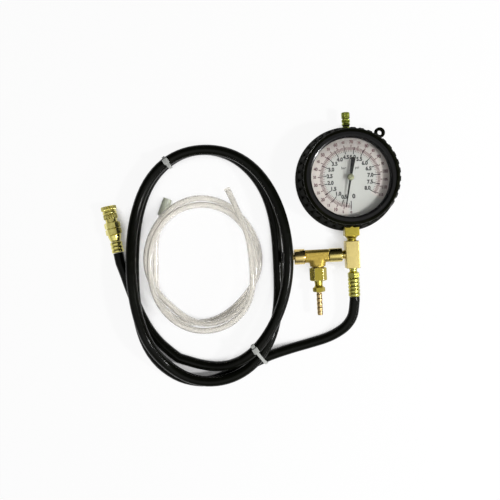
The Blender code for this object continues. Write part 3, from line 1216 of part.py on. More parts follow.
def make_hose():
    diameter = 2 * HOSE_RADIUS
    coil = wound(coil_point, COIL_START, COIL_FINISH, COIL_POINTS_A_LOOP, diameter)
    tube("hose_coil", coil, HOSE_RADIUS, HOSE_RUBBER, 1)
    first = STEM_AXIS + DOWN_THE_STEM * (-FERRULE_END + GAP)
    entry = (coil[1] - coil[0]).normalized()
    lead = [first + DOWN_THE_STEM * END_STRAIGHT] + [Vector(point) for point in LEAD_ROUTE]
    lead.append(coil[0] - entry * (GAP + END_STRAIGHT))
    lead_points = [first] + along_route(lead, ROUTE_STEP) + [coil[0] - entry * GAP]
    tube("hose_lead", lead_points, HOSE_RADIUS, HOSE_RUBBER, 2)
    leaving = (coil[-1] - coil[-2]).normalized()
    tail = [coil[-1] + leaving * (GAP + END_STRAIGHT)] + [Vector(point) for point in TAIL_ROUTE]
    tail.append(COUPLER_AXIS - COUPLER_DIRECTION * (GAP + diameter))
    tail_points = ([coil[-1] + leaving * GAP] + along_route(tail, ROUTE_STEP)
                   + [COUPLER_AXIS - COUPLER_DIRECTION * GAP])
    tube("hose_tail", tail_points, HOSE_RADIUS, HOSE_RUBBER, 2)
    total = length_of(lead_points) + length_of(coil) + length_of(tail_points)
    print("hose length mm", round(total / MM, 1), "loops", COIL_FINISH - COIL_START)
    print("hose coil least gap to itself mm", round(least_gap(coil, HOSE_RADIUS) / MM, 2))
    return lead_points, coil


def make_drain_tube():
    diameter = 2 * DRAIN_RADIUS
    points = wound(drain_point, DRAIN_START, DRAIN_FINISH, COIL_POINTS_A_LOOP, diameter)
    tube("drain_tube", points, DRAIN_RADIUS, VINYL, 1)
    print("drain tube length mm", round(length_of(points) / MM, 1))
    print("drain tube least gap to itself mm", round(least_gap(points, DRAIN_RADIUS) / MM, 2))
    leaving = points[-1] - points[-2]
    start = points[-1] - leaving.normalized() * DRAIN_SLEEVE_GRIP
    grip = DRAIN_RADIUS + GAP
    return smooth(turned("drain_sleeve", [
        (DRAIN_SLEEVE_BORE, DRAIN_SLEEVE_GRIP + GAP), (DRAIN_SLEEVE_BORE, DRAIN_SLEEVE_LENGTH),
        (DRAIN_SLEEVE_RADIUS, DRAIN_SLEEVE_LENGTH), (DRAIN_SLEEVE_RADIUS, 0.0), (grip, 0.0),
        (grip, DRAIN_SLEEVE_GRIP + GAP),
    ], VINYL, start, leaving, ROUND, ring=True))


# Coupler

def make_coupler():
    """Ferrule and insert stay with the hose, the barrel swivels, and the sleeve slides on it."""
    smooth(turned("coupler_ferrule", ferrule_profile(
        COUPLER_FERRULE_RADIUS, SPIGOT_RADIUS, 0.0, COUPLER_FERRULE_LENGTH, 3, FERRULE_GROOVE),
        BRASS, COUPLER_AXIS, COUPLER_DIRECTION, ROUND, ring=True))
    cone = COUPLER_FERRULE_LENGTH + GAP
    hex_start = cone + INSERT_CONE_LENGTH
    hex_end = hex_start + COUPLER_HEX_LENGTH
    insert = turned("hose_insert", [
        (BARB_BORE_RADIUS, hex_end + SPIGOT_LENGTH), (SPIGOT_RADIUS, hex_end + SPIGOT_LENGTH),
        (SPIGOT_RADIUS, hex_end - OVERRUN), (INSERT_WIDE_RADIUS, hex_end - OVERRUN),
        (INSERT_WIDE_RADIUS, hex_start), (INSERT_NARROW_RADIUS, cone + OVERRUN),
        (INSERT_NARROW_RADIUS - FERRULE_GROOVE, cone), (BARB_BORE_RADIUS, cone),
    ], BRASS, COUPLER_AXIS, COUPLER_DIRECTION, ROUND, ring=True)
    hexagon = adopt("insert_hex", prism_mesh(COUPLER_HEX_RADIUS, hex_start, hex_end, 6,
                                             FLAT_UP), BRASS, COUPLER_AXIS,
                    COUPLER_DIRECTION)
    cut(hexagon, cylinder("insert_hex_bore", SPIGOT_RADIUS - GAP, hex_start - OVERRUN,
                          hex_end + OVERRUN, COUPLER_AXIS, COUPLER_DIRECTION))
    smooth(join(insert, hexagon))
    barrel_hex = hex_end + GAP
    barrel_start = barrel_hex + COUPLER_HEX_LENGTH
    barrel_end = barrel_start + BARREL_LENGTH
    socket_floor = barrel_end - SOCKET_DEPTH
    swivel = SPIGOT_RADIUS + RUNNING_GAP
    barrel = turned("coupler_barrel", [
        (NIPPLE_BORE_RADIUS, socket_floor), (BARREL_BORE_RADIUS, socket_floor),
        (BARREL_BORE_RADIUS, barrel_end), (BARREL_RADIUS, barrel_end),
        (BARREL_RADIUS, barrel_start - OVERRUN), (INSERT_WIDE_RADIUS, barrel_start - OVERRUN),
        (INSERT_WIDE_RADIUS, barrel_hex), (swivel, barrel_hex),
        (swivel, hex_end + SPIGOT_LENGTH + GAP), (NIPPLE_BORE_RADIUS, hex_end + SPIGOT_LENGTH + GAP),
    ], BRASS, COUPLER_AXIS, COUPLER_DIRECTION, ROUND, ring=True)
    hexagon = adopt("barrel_hex", prism_mesh(COUPLER_HEX_RADIUS, barrel_hex, barrel_start, 6,
                                             FLAT_UP), BRASS, COUPLER_AXIS,
                    COUPLER_DIRECTION)
    cut(hexagon, cylinder("barrel_hex_bore", BARREL_RADIUS - GAP, barrel_hex - OVERRUN,
                          barrel_start + OVERRUN, COUPLER_AXIS, COUPLER_DIRECTION, ROUND))
    join(barrel, hexagon)
    ball_place = barrel_end - BALL_SETBACK
    ball_radius = (BARREL_RADIUS + BARREL_BORE_RADIUS) / 2
    turn_to = UP.rotation_difference(COUPLER_DIRECTION)
    balls = []
    for i in range(BALL_COUNT):
        angle = 2 * math.pi * i / BALL_COUNT
        outward = turn_to @ Vector((math.cos(angle), math.sin(angle), 0.0))
        centre = COUPLER_AXIS + COUPLER_DIRECTION * ball_place
        cut(barrel, cylinder("ball_hole", BALL_RADIUS + GAP, BARREL_BORE_RADIUS - OVERRUN,
                             BARREL_RADIUS + OVERRUN, centre, outward, 10))
        balls.append(centre + outward * ball_radius)
    smooth(barrel)

    def ball(shape):
        bmesh.ops.create_icosphere(shape, subdivisions=2, radius=BALL_RADIUS)
    copies("locking_ball", shape_mesh(ball), STEEL, balls)
    smooth(turned("coupler_seal", [
        (COUPLER_SEAL_BORE, socket_floor + GAP + COUPLER_SEAL_THICKNESS),
        (BARREL_BORE_RADIUS - GAP, socket_floor + GAP + COUPLER_SEAL_THICKNESS),
        (BARREL_BORE_RADIUS - GAP, socket_floor + GAP), (COUPLER_SEAL_BORE, socket_floor + GAP),
    ], RUBBER, COUPLER_AXIS, COUPLER_DIRECTION, ROUND, ring=True))
    sleeve_start = barrel_start + SLEEVE_START_GAP
    sleeve_end = barrel_end + GAP
    flange = sleeve_end - SLEEVE_FLANGE_LENGTH
    bore = BARREL_RADIUS + RUNNING_GAP
    ring_floor = SLEEVE_RADIUS - SLEEVE_RING_GROOVE
    smooth(turned("coupler_sleeve", [
        (bore, sleeve_end), (SLEEVE_FLANGE_RADIUS - SLEEVE_RING_GROOVE, sleeve_end),
        (SLEEVE_FLANGE_RADIUS, sleeve_end - SLEEVE_RING_GROOVE),
        (SLEEVE_FLANGE_RADIUS, flange + SLEEVE_RING_GROOVE), (ring_floor, flange),
        (ring_floor, flange - SLEEVE_RING_GROOVE * 2), (SLEEVE_RADIUS, flange - SLEEVE_RING_GROOVE * 3),
        (SLEEVE_RADIUS, sleeve_start + SLEEVE_RING_GROOVE),
        (SLEEVE_RADIUS - SLEEVE_RING_GROOVE, sleeve_start), (bore, sleeve_start),
    ], BRASS, COUPLER_AXIS, COUPLER_DIRECTION, ROUND, ring=True))
    print("coupler socket", [round(value / MM, 2) for value in (socket_floor, barrel_end, sleeve_start)])


# Cable ties

def hull(points):
    """The convex outline round a set of points."""
    def half(ordered):
        line = []
        for point in ordered:
            while len(line) > 1 and ((line[-1][0] - line[-2][0]) * (point[1] - line[-2][1])
                                     - (line[-1][1] - line[-2][1]) * (point[0] - line[-2][0])) <= 0:
                line.pop()
            line.append(point)
        return line[:-1]
    ordered = sorted(points)
    return half(ordered) + half(ordered[::-1])


def make_tie(name, turn, slant, strands):
    """A strap round every strand that passes the place where the wound hose reaches a turn."""
    top = coil_point(turn)
    along = coil_point(turn + 1 / (20 * COIL_POINTS_A_LOOP)) - top
    along.z = 0.0
    along.normalize()
    along.rotate(Matrix.Rotation(slant, 3, "Z"))
    across = Vector((along.y, -along.x, 0.0))
    centres = [((point - top).dot(across), point.z) for point in strands
               if abs((point - top).dot(along)) < TIE_WIDTH / 2 + HOSE_RADIUS * TIE_SLANT_SHARE
               and (point - top).length < TIE_SEARCH]
    inner = HOSE_RADIUS + GAP
    rings = [hull([point for centre in centres for point in circle(centre, reach, 2 * SMALL)])
             for reach in (inner + TIE_THICKNESS, inner)]
    mesh = plate_mesh(rings, -TIE_WIDTH / 2, TIE_WIDTH / 2)
    mesh.transform(Matrix(((across.x, 0.0, along.x, top.x), (across.y, 0.0, along.y, top.y),
                           (0.0, 1.0, 0.0, 0.0), (0.0, 0.0, 0.0, 1.0))))
    mesh.flip_normals()
    tie = adopt(name, mesh, NYLON)
    length, width, height = TIE_HEAD
    head = box_mesh((-length / 2, -width / 2, 0.0), (length / 2, width / 2, height))
    seat = max(point[1] for point in rings[1]) + TIE_THICKNESS / 2
    turn_to = Matrix.Rotation(math.atan2(across.y, across.x), 4, "Z")
    head.transform(Matrix.Translation((top.x, top.y, seat)) @ turn_to)
    join(tie, adopt(name + "_head", head, NYLON))
    print(name, "lowest mm", round(min(point[1] for point in rings[0]) / MM, 2))


def make_ties(lead_points, coil):
    """One tie holds two stacked strands, the other holds two with the lead under them."""
    strands = along_chords(coil, TIE_STEP) + along_chords(lead_points, TIE_STEP)
    make_tie("upper_cable_tie", UPPER_TIE_TURN, 0.0, strands)
    make_tie("lower_cable_tie", LOWER_TIE_TURN, LOWER_TIE_SLANT, strands)


make_boot()
make_case()
make_bezel()
make_window()
make_socket()
make_block()
make_vent()
make_plates()
make_pillars()
make_small_screws()
make_sector()
make_pointer()
make_bourdon_tube()
make_link()
make_hairspring()
make_union()
make_forged_tee()
make_relief_valve()
make_bleed_barb()
make_nipple()
make_ties(*make_hose())
make_coupler()
make_drain_tube()
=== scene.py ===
"""Looks of a fuel pressure gauge: its hoses, dial print, brass fittings, finishes and stage.

Metres, +Z up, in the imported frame: the gauge lies on its back with the dial's centre over the
origin, and the stem and the fittings point along -Y. Outlines of turned pieces are
(radius, distance) pairs in millimetres, the distance measured along the piece's own axis.
"""
import math

import bmesh
import bpy
from bpy.props import FloatProperty, FloatVectorProperty, IntProperty, PointerProperty
from mathutils import Matrix, Vector


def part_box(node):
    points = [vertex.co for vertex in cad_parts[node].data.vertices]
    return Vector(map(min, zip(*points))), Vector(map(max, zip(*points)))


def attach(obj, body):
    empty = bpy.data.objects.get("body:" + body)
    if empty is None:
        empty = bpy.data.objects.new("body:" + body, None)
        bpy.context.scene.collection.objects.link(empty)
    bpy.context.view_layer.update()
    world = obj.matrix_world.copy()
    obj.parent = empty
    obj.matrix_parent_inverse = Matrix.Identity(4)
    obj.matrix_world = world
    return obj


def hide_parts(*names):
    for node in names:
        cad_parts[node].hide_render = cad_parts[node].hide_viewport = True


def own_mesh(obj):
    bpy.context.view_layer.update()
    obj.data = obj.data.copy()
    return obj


bl_info = {
    "name": "Fuel pressure gauge",
    "version": (1, 0, 0),
    "blender": (4, 5, 0),
    "location": "3D View > Sidebar > Gauge",
    "description": "Models and finishes a fuel pressure gauge on its packed frame",
    "category": "Object",
}

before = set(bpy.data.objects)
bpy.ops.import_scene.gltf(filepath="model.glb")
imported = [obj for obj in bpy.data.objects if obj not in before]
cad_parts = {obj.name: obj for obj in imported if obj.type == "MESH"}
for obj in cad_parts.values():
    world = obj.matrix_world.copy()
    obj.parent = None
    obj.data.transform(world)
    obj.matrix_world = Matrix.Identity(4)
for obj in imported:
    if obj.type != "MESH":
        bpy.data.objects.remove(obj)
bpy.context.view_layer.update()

MM = 0.001
FULL_TURN = 2 * math.pi
UP = Vector((0.0, 0.0, 1.0))
DOWN_THE_STEM = Vector((0.0, -1.0, 0.0))
UP_THE_STEM = Vector((0.0, 1.0, 0.0))
ALONG_BRANCH = Vector((-1.0, 0.0, 0.0))
MERGE = 0.00001

# Places that the frame gives
STEM_HEIGHT = sum(corner[2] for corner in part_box("tee_block")) / 2
BRANCH_Y = sum(corner[1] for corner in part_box("union_collar")) / 2
BRANCH_X = sum(corner[0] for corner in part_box("branch_nut")) / 2
BEZEL_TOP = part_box("bezel_ring")[1][2]
DIAL_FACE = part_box("dial_plate")[1][2]

# The coupler's own leaning axis
COUPLER_FOOT = Vector((-229.5, -61.2, 8.2)) * MM
COUPLER_LEAN = math.radians(9.4)
COUPLER_DIRECTION = Vector((-math.sin(COUPLER_LEAN), math.cos(COUPLER_LEAN), 0.0))

# Test hose, wound twice round an oval: turns, shares of its half sizes, and layers
HOSE_RADIUS = 5.0 * MM
STRAND_GAP = 0.9 * MM
COIL_CENTRE = (-138.0 * MM, -79.0 * MM)
COIL_HALF_SIZES = (77.0 * MM, 114.0 * MM)
COIL_START = -0.02
COIL_FINISH = 2.06
COIL_REACH_SHARES = (
    (-0.06, 0.953), (-0.02, 0.960), (0.035, 1.023), (0.125, 1.095), (0.25, 0.985), (0.375, 1.045),
    (0.5, 1.005), (0.625, 0.960), (0.75, 0.848), (0.875, 0.955), (1.0, 0.980), (1.125, 1.032),
    (1.25, 1.000), (1.375, 1.052), (1.5, 0.996), (1.625, 1.008), (1.75, 0.968), (1.875, 0.885),
    (2.0, 0.867), (2.0625, 0.889), (2.125, 0.955),
)
COIL_LAYER_SHARES = (
    (0.085, 0.0), (0.165, 1.0), (0.215, 1.0), (0.35, 0.15), (0.50, 0.15), (0.60, 0.0),
    (0.78, 0.0), (0.885, 1.15), (0.97, 1.15), (1.085, 1.0), (1.165, 2.0), (1.215, 2.0),
    (1.35, 1.15), (1.50, 1.15), (1.74, 2.12), (1.88, 2.12), (2.05, 0.0),
)
HOSE_EXIT = (0.0, -115.9 * MM, STEM_HEIGHT)
LEAD_ROUTE = (
    (-2.4 * MM, -133.6 * MM, 13.2 * MM), (-8.4 * MM, -143.6 * MM, 10.4 * MM),
    (-17.4 * MM, -150.6 * MM, 7.6 * MM), (-29.0 * MM, -155.9 * MM, 5.9 * MM),
    (-45.0 * MM, -160.2 * MM, 5.2 * MM), (-64.0 * MM, -164.5 * MM, 6.2 * MM),
    (-84.0 * MM, -170.0 * MM, 6.8 * MM), (-100.0 * MM, -176.2 * MM, 6.7 * MM),
)
TAIL_ROUTE = (
    (-183.4 * MM, -162.0 * MM, 5.0 * MM), (-193.0 * MM, -152.8 * MM, 5.0 * MM),
    (-200.6 * MM, -143.0 * MM, 5.0 * MM), (-206.6 * MM, -132.8 * MM, 5.0 * MM),
    (-212.0 * MM, -120.8 * MM, 5.0 * MM), (-216.6 * MM, -108.4 * MM, 5.1 * MM),
    (-220.6 * MM, -95.8 * MM, 5.8 * MM), (-224.0 * MM, -83.6 * MM, 7.2 * MM),
)
FACE_GAP = 0.3 * MM
END_STRAIGHT = 3.0 * MM
ROUTE_STEP = 2.5 * MM
POINTS_A_LOOP = 96

# Clear drain tube, wound inside the hose
DRAIN_RADIUS = 3.0 * MM
DRAIN_WALL = 0.9 * MM
DRAIN_CENTRE = (-146.8 * MM, -76.9 * MM)
DRAIN_HALF_SIZES = (53.0 * MM, 62.0 * MM)
DRAIN_START = 0.576
DRAIN_FINISH = 3.385
DRAIN_REACH_SHARES = (
    (0.53, 1.45), (0.576, 1.23), (0.61, 1.08), (0.66, 0.975), (0.75, 0.91), (0.875, 1.045),
    (1.0, 1.043), (1.125, 1.02), (1.25, 0.965), (1.375, 0.960), (1.5, 0.94), (1.625, 0.965),
    (1.75, 0.985), (1.875, 0.970), (2.0, 0.945), (2.125, 0.890), (2.25, 1.040), (2.375, 1.045),
    (2.5, 1.05), (2.625, 1.045), (2.75, 1.055), (2.875, 0.905), (3.0, 0.925), (3.125, 1.040),
    (3.25, 0.890), (3.33, 0.965), (3.373, 1.057), (3.407, 1.155), (3.43, 1.25),
)
DRAIN_LAYER_SHARES = (
    (0.556, 1.3), (0.62, 2.0), (1.15, 2.0), (1.36, 2.2), (1.64, 1.0), (2.20, 1.0), (2.38, 1.45),
    (2.68, 0.0), (3.20, 0.0), (3.36, 0.27),
)
CUFF_GRIP = 7.0

# Cable ties, at turns of the wound hose
TIE_WIDTH = 2.8 * MM
TIE_THICKNESS = 1.1 * MM
TIE_SEARCH = 42.0 * MM
TIE_SLANT_SHARE = 0.3
TIES = (("upper_strap", "upper_cable_tie", 1.42, 0.0),
        ("lower_strap", "lower_cable_tie", 1.902, math.radians(-11.8)))

# Dial print: where each scale starts, its angle for one unit, and its last unit
CAPITAL_SHARE = 0.7
PRINT_RISE = 0.02 * MM
BAR_ZERO = math.radians(269.5)
BAR_STEP = math.radians(38.0)
BAR_LAST = 8
PSI_ZERO = math.radians(269.0)
PSI_STEP = math.radians(2.62)
PSI_LAST = 115

# Dial paint: where the outer band starts by radius, where it ends by angle, and the painted shade that
# greys the top
BAND_EDGE = (24.2 * MM, 25.6 * MM)
BAND_END_EDGE = (math.radians(-41.0), math.radians(-37.0))
BAND_START_EDGE = (math.radians(-93.0), math.radians(-97.0))
# Painted shade over the dial's top: the heights where it starts and is full, and how dark it gets
TOP_SHADE_RISE = (13.0 * MM, 36.0 * MM)
TOP_SHADE_SHARE = 0.34
DIAL_STEPS = 160

# Single pieces, with the block's trim in millimetres as in its outline
NEEDLE_REST = math.radians(258.8)
LOOP_TURN = math.radians(53.0)
LOOP_PLACE = (53.4 * MM, 0.0, 16.0 * MM)
BLOCK_TRIM = 0.8
FORGING_HALF = 5.3 * MM
BRANCH_FLATNESS = 0.74
FORGING_GRID = 0.30 * MM
SPRING_WIRE = 0.35 * MM
SPRING_TURNS = 5
SPRING_POINTS = 24
VINYL_IOR = 1.42
WINDOW_IOR = 1.3

# Camera, floor, lamps as (size, place), and surroundings as (axis, start, end, share past the end)
CAMERA_LENS = 50.52
CAMERA_SHIFT = (-0.0015, -0.036)
CAMERA_PLACE = (-98.03 * MM, -47.60 * MM)
FLOOR_SIZE = 4.0
FLOOR_DROP = 0.2 * MM
GAP_REACH = 25.0 * MM
GAP_EDGE = (0.36, 0.50)
GAP_GLOW = (0.12, 0.92)
KEY_LAMP = ((0.08, 0.08), (0.56, -0.23, 0.78))
SIDE_LAMP = ((1.10, 0.05), (0.72, -0.52, 0.40))
LAMP_TARGET = (-0.03, -0.03, 0.0)
STUDIO_SHADES = (("Y", 0.02, 0.26, 0.04), ("Y", -0.52, -0.92, 0.12), ("Y", -0.04, -0.26, 1.7),
                 ("X", -0.35, -0.85, 0.45), ("X", 0.30, 0.80, 0.50))


class StageSettings(bpy.types.PropertyGroup):
    camera_height: FloatProperty(
        name="Camera height", description="Height of the camera over the floor",
        default=0.7, unit="LENGTH")
    camera_turn: FloatProperty(
        name="Camera turn", description="How far the camera is turned about the vertical",
        default=math.radians(-2.9), subtype="ANGLE")
    floor_colour: FloatVectorProperty(
        name="Floor", description="Colour of the floor", default=(0.95, 0.95, 0.95), subtype="COLOR")
    key_power: FloatProperty(
        name="Key light", description="Power of the high lamp at the right", default=5.8,
        unit="POWER")
    side_power: FloatProperty(
        name="Side light", description="Power of the low, wide lamp at the lower right",
        default=2.2, unit="POWER")
    surround: FloatProperty(
        name="Surround", description="Brightness of the surroundings overhead", default=0.62)


class HoseSettings(bpy.types.PropertyGroup):
    rubber: FloatVectorProperty(
        name="Hose", description="Colour of the test hose", default=(0.0034, 0.0038, 0.0024),
        subtype="COLOR")
    vinyl: FloatVectorProperty(
        name="Drain tube", description="Tint of the clear drain tube",
        default=(0.93, 0.91, 0.865), subtype="COLOR")
    sides: IntProperty(name="Sides", description="Faces round the hose", default=28, min=8)


class DialSettings(bpy.types.PropertyGroup):
    face: FloatVectorProperty(
        name="Face", description="Colour of the dial", default=(0.455, 0.46, 0.43), subtype="COLOR")
    band: FloatVectorProperty(
        name="Band", description="Colour of the dial's outer band", default=(0.545, 0.495, 0.455),
        subtype="COLOR")
    ink: FloatVectorProperty(
        name="Ink", description="Colour of the inner scale", default=(0.008, 0.008, 0.008),
        subtype="COLOR")
    red_ink: FloatVectorProperty(
        name="Red ink", description="Colour of the outer scale", default=(0.095, 0.038, 0.042),
        subtype="COLOR")
    number_height: FloatProperty(
        name="Numbers", description="Height of the inner numbers", default=3.5 * MM, unit="LENGTH")


class BrassSettings(bpy.types.PropertyGroup):
    pale: FloatVectorProperty(
        name="Pale brass", description="Colour of the milled block", default=(0.68, 0.56, 0.215),
        subtype="COLOR")
    golden: FloatVectorProperty(
        name="Golden brass", description="Colour of the movement's plates",
        default=(0.62, 0.49, 0.10), subtype="COLOR")
    olive: FloatVectorProperty(
        name="Olive brass", description="Colour of the flats and the nut",
        default=(0.47, 0.385, 0.060), subtype="COLOR")
    green: FloatVectorProperty(
        name="Green brass", description="Colour of the nipple and its ferrule",
        default=(0.52, 0.50, 0.13), subtype="COLOR")
    red: FloatVectorProperty(
        name="Red brass", description="Colour of the barb and the Bourdon tube",
        default=(0.56, 0.41, 0.19), subtype="COLOR")
    stain: FloatVectorProperty(
        name="Stain", description="Colour of the tarnish", default=(0.24, 0.15, 0.03),
        subtype="COLOR")


class BootSettings(bpy.types.PropertyGroup):
    rubber: FloatVectorProperty(
        name="Rubber", description="Colour of the boot", default=(0.0040, 0.0043, 0.0022),
        subtype="COLOR")
    ribs: IntProperty(name="Ribs", description="Grip ribs round the boot", default=36, min=6)
    rib_depth: FloatProperty(
        name="Rib depth", description="Depth of the grooves between the ribs",
        default=1.6 * MM, unit="LENGTH")


SETTINGS = {
    "gauge_stage": StageSettings, "gauge_hose": HoseSettings, "gauge_dial": DialSettings,
    "gauge_brass": BrassSettings, "gauge_boot": BootSettings,
}


# Shader nodes and the groups that the finishes share

def feed(tree, sockets, values):
    """Give each named socket a value or a link."""
    for name, value in values.items():
        if isinstance(value, bpy.types.NodeSocket):
            tree.links.new(value, sockets[name])
        else:
            sockets[name].default_value = value


def add(tree, kind, inputs=None, **settings):
    """Add a node, set its options and feed its inputs."""
    node = tree.nodes.new(kind)
    for name, value in settings.items():
        setattr(node, name, value)
    feed(tree, node.inputs, inputs or {})
    return node


def calc(tree, operation, *values):
    """One step of arithmetic between values or sockets."""
    return add(tree, "ShaderNodeMath", dict(enumerate(values)), operation=operation).outputs[0]


def noise(tree, place, scale, detail, roughness=0.5, distortion=0.0):
    """A cloudy pattern between 0 and 1."""
    return add(tree, "ShaderNodeTexNoise", {
        "Vector": place, "Scale": scale, "Detail": detail, "Roughness": roughness,
        "Distortion": distortion,
    }).outputs["Fac"]


def sort(tree, value, low, high, bottom=0.0, top=1.0):
    """Map a value from one range to another, clamped."""
    return add(tree, "ShaderNodeMapRange", {
        "Value": value, "From Min": low, "From Max": high, "To Min": bottom, "To Max": top,
    }).outputs["Result"]


def blend_colour(tree, factor, first, second):
    """Mix two colours by a factor."""
    return add(tree, "ShaderNodeMix", {0: factor, 6: first, 7: second}, data_type="RGBA").outputs[2]


def new_group(name, inputs, outputs):
    """An empty shader node group with named inputs and outputs, given as (name, kind, default)."""
    group = bpy.data.node_groups.new(name, "ShaderNodeTree")
    for label, kind, default in inputs:
        socket = group.interface.new_socket(name=label, in_out="INPUT", socket_type="NodeSocket" + kind)
        if default is not None:
            socket.default_value = default
    for label, kind in outputs:
        group.interface.new_socket(name=label, in_out="OUTPUT", socket_type="NodeSocket" + kind)
    return group, group.nodes.new("NodeGroupInput").outputs, group.nodes.new("NodeGroupOutput").inputs


def tarnish_group():
    """Clean metal with cloudy stains: puts out the colour and the mask of the stains."""
    group, given, out = new_group("tarnish", [
        ("Place", "Vector", None), ("Clean", "Color", (0.7, 0.5, 0.2, 1.0)),
        ("Stained", "Color", (0.3, 0.2, 0.06, 1.0)), ("Scale", "Float", 260.0),
        ("Amount", "Float", 0.4),
    ], [("Colour", "Color"), ("Mask", "Float")])
    mask = sort(group, noise(group, given["Place"], given["Scale"], 5.0, 0.62, 0.4), 0.44, 0.72)
    amount = calc(group, "MULTIPLY", mask, given["Amount"])
    colour = blend_colour(group, amount, given["Clean"], given["Stained"])
    feed(group, out, {"Colour": colour, "Mask": mask})
    return group


def tool_mark_group():
    """Fine lines left by a cutting tool, across the stretched direction of the place."""
    group, given, out = new_group("tool_marks", [
        ("Place", "Vector", None), ("Stretch", "Vector", (1.0, 1.0, 1.0)),
        ("Grain", "Float", 0.35),
    ], [("Height", "Float"), ("Shine", "Float")])
    stretched = add(group, "ShaderNodeVectorMath", {0: given["Place"], 1: given["Stretch"]},
                    operation="MULTIPLY")
    lines = noise(group, stretched.outputs[0], 1.0, 3.0, 0.55)
    pits = calc(group, "MULTIPLY", noise(group, given["Place"], 2600.0, 2.0), given["Grain"])
    feed(group, out, {"Height": calc(group, "ADD", lines, pits),
                      "Shine": sort(group, lines, 0.3, 0.7, -0.05, 0.07)})
    return group


def grain_group():
    """The fine skin of moulded rubber or plastic, with a broad unevenness under it."""
    group, given, out = new_group("moulded_grain", [
        ("Place", "Vector", None), ("Scale", "Float", 1800.0),
        ("Broad", "Float", 120.0),
    ], [("Height", "Float"), ("Worn", "Float")])
    fine = noise(group, given["Place"], given["Scale"], 3.0)
    broad = noise(group, given["Place"], given["Broad"], 4.0, 0.6)
    feed(group, out, {"Height": calc(group, "MULTIPLY_ADD", broad, 0.6, fine),
                      "Worn": sort(group, broad, 0.50, 0.72)})
    return group


def place_group():
    """Radius and angle of a place about the dial's axis."""
    group, given, out = new_group("about_the_dial", [("Place", "Vector", None)], [
        ("Radius", "Float"), ("Angle", "Float")])
    parts = add(group, "ShaderNodeSeparateXYZ", {"Vector": given["Place"]}).outputs
    flat = add(group, "ShaderNodeCombineXYZ", {"X": parts["X"], "Y": parts["Y"]})
    radius = add(group, "ShaderNodeVectorMath", {0: flat.outputs[0]}, operation="LENGTH")
    feed(group, out, {"Radius": radius.outputs["Value"],
                      "Angle": calc(group, "ARCTAN2", parts["Y"], parts["X"])})
    return group


GROUP_MAKERS = {"tarnish": tarnish_group, "tool_marks": tool_mark_group,
                "moulded_grain": grain_group, "about_the_dial": place_group}


def use_group(tree, name, inputs):
    """The outputs of a shared group, which is made when it is first asked for."""
    group = bpy.data.node_groups.get(name) or GROUP_MAKERS[name]()
    return add(tree, "ShaderNodeGroup", inputs, node_tree=group).outputs


def blank(name):
    """A new material with its shader and the object's own coordinates."""
    made = bpy.data.materials.new(name)
    made.use_nodes = True
    tree = made.node_tree
    shader = tree.nodes["Principled BSDF"]
    place = tree.nodes.new("ShaderNodeTexCoord").outputs["Object"]
    return made, tree, shader, place


def bumped(tree, shader, height, distance):
    bump = add(tree, "ShaderNodeBump", {"Height": height, "Distance": distance, "Strength": 1.0})
    tree.links.new(bump.outputs["Normal"], shader.inputs["Normal"])


def mixed_in(tree, share, shader, other):
    """Put out a shader with a share of another one mixed into it."""
    mixed = add(tree, "ShaderNodeMixShader", {0: share, 1: shader.outputs[0], 2: other.outputs[0]})
    tree.links.new(mixed.outputs[0], tree.nodes["Material Output"].inputs["Surface"])


def let_lamps_through(tree, shader, share):
    """Give the rays from the lamps a share of what passes through a clear piece."""
    clear = add(tree, "ShaderNodeBsdfTransparent", {"Color": (1.0, 1.0, 1.0, 1.0)})
    shadow = tree.nodes.new("ShaderNodeLightPath").outputs["Is Shadow Ray"]
    mixed_in(tree, calc(tree, "MULTIPLY", shadow, share), shader, clear)


def times(colour, share):
    return [part * share for part in colour]


def opaque(colour):
    return (*colour, 1.0)


def brass(name, clean, roughness, stretch, stain=0.35, depth=0.00003, scale=260.0, grain=0.35):
    """Machined or forged brass with stains, and tool marks across the stretched direction."""
    made, tree, shader, place = blank(name)
    stained = opaque(bpy.context.scene.gauge_brass.stain)
    colour = use_group(tree, "tarnish", {"Place": place, "Clean": opaque(clean), "Stained": stained,
                                         "Scale": scale, "Amount": stain})
    marks = use_group(tree, "tool_marks", {"Place": place, "Stretch": stretch, "Grain": grain})
    dull = calc(tree, "MULTIPLY_ADD", colour["Mask"], 0.10, roughness)
    feed(tree, shader.inputs, {"Base Color": colour["Colour"], "Metallic": 1.0,
                               "Roughness": calc(tree, "ADD", dull, marks["Shine"])})
    bumped(tree, shader, marks["Height"], depth)
    return made


def moulded(name, colour, worn, roughness, depth=0.00004, scale=1800.0, broad=120.0, shine=0.5):
    """Moulded rubber or plastic whose raised spots have gone pale."""
    made, tree, shader, place = blank(name)
    skin = use_group(tree, "moulded_grain", {"Place": place, "Scale": scale, "Broad": broad})
    feed(tree, shader.inputs, {
        "Base Color": blend_colour(tree, skin["Worn"], opaque(colour), opaque(worn)),
        "Roughness": sort(tree, skin["Worn"], 0.0, 1.0, roughness, roughness + 0.12),
        "Specular IOR Level": shine,
    })
    bumped(tree, shader, skin["Height"], depth)
    return made


def clear_vinyl(name, tint, clearness, roughness):
    """Milky plastic that lets light through and shows its walls."""
    made, tree, shader, place = blank(name)
    skin = use_group(tree, "moulded_grain", {"Place": place, "Scale": 700.0, "Broad": 60.0})
    feed(tree, shader.inputs, {
        "Base Color": blend_colour(tree, skin["Worn"], opaque(tint), opaque(times(tint, 0.96))),
        "Roughness": sort(tree, skin["Worn"], 0.0, 1.0, roughness, roughness + 0.1),
        "Transmission Weight": clearness, "IOR": VINYL_IOR,
    })
    bumped(tree, shader, skin["Height"], 0.00003)
    let_lamps_through(tree, shader, clearness)
    return made


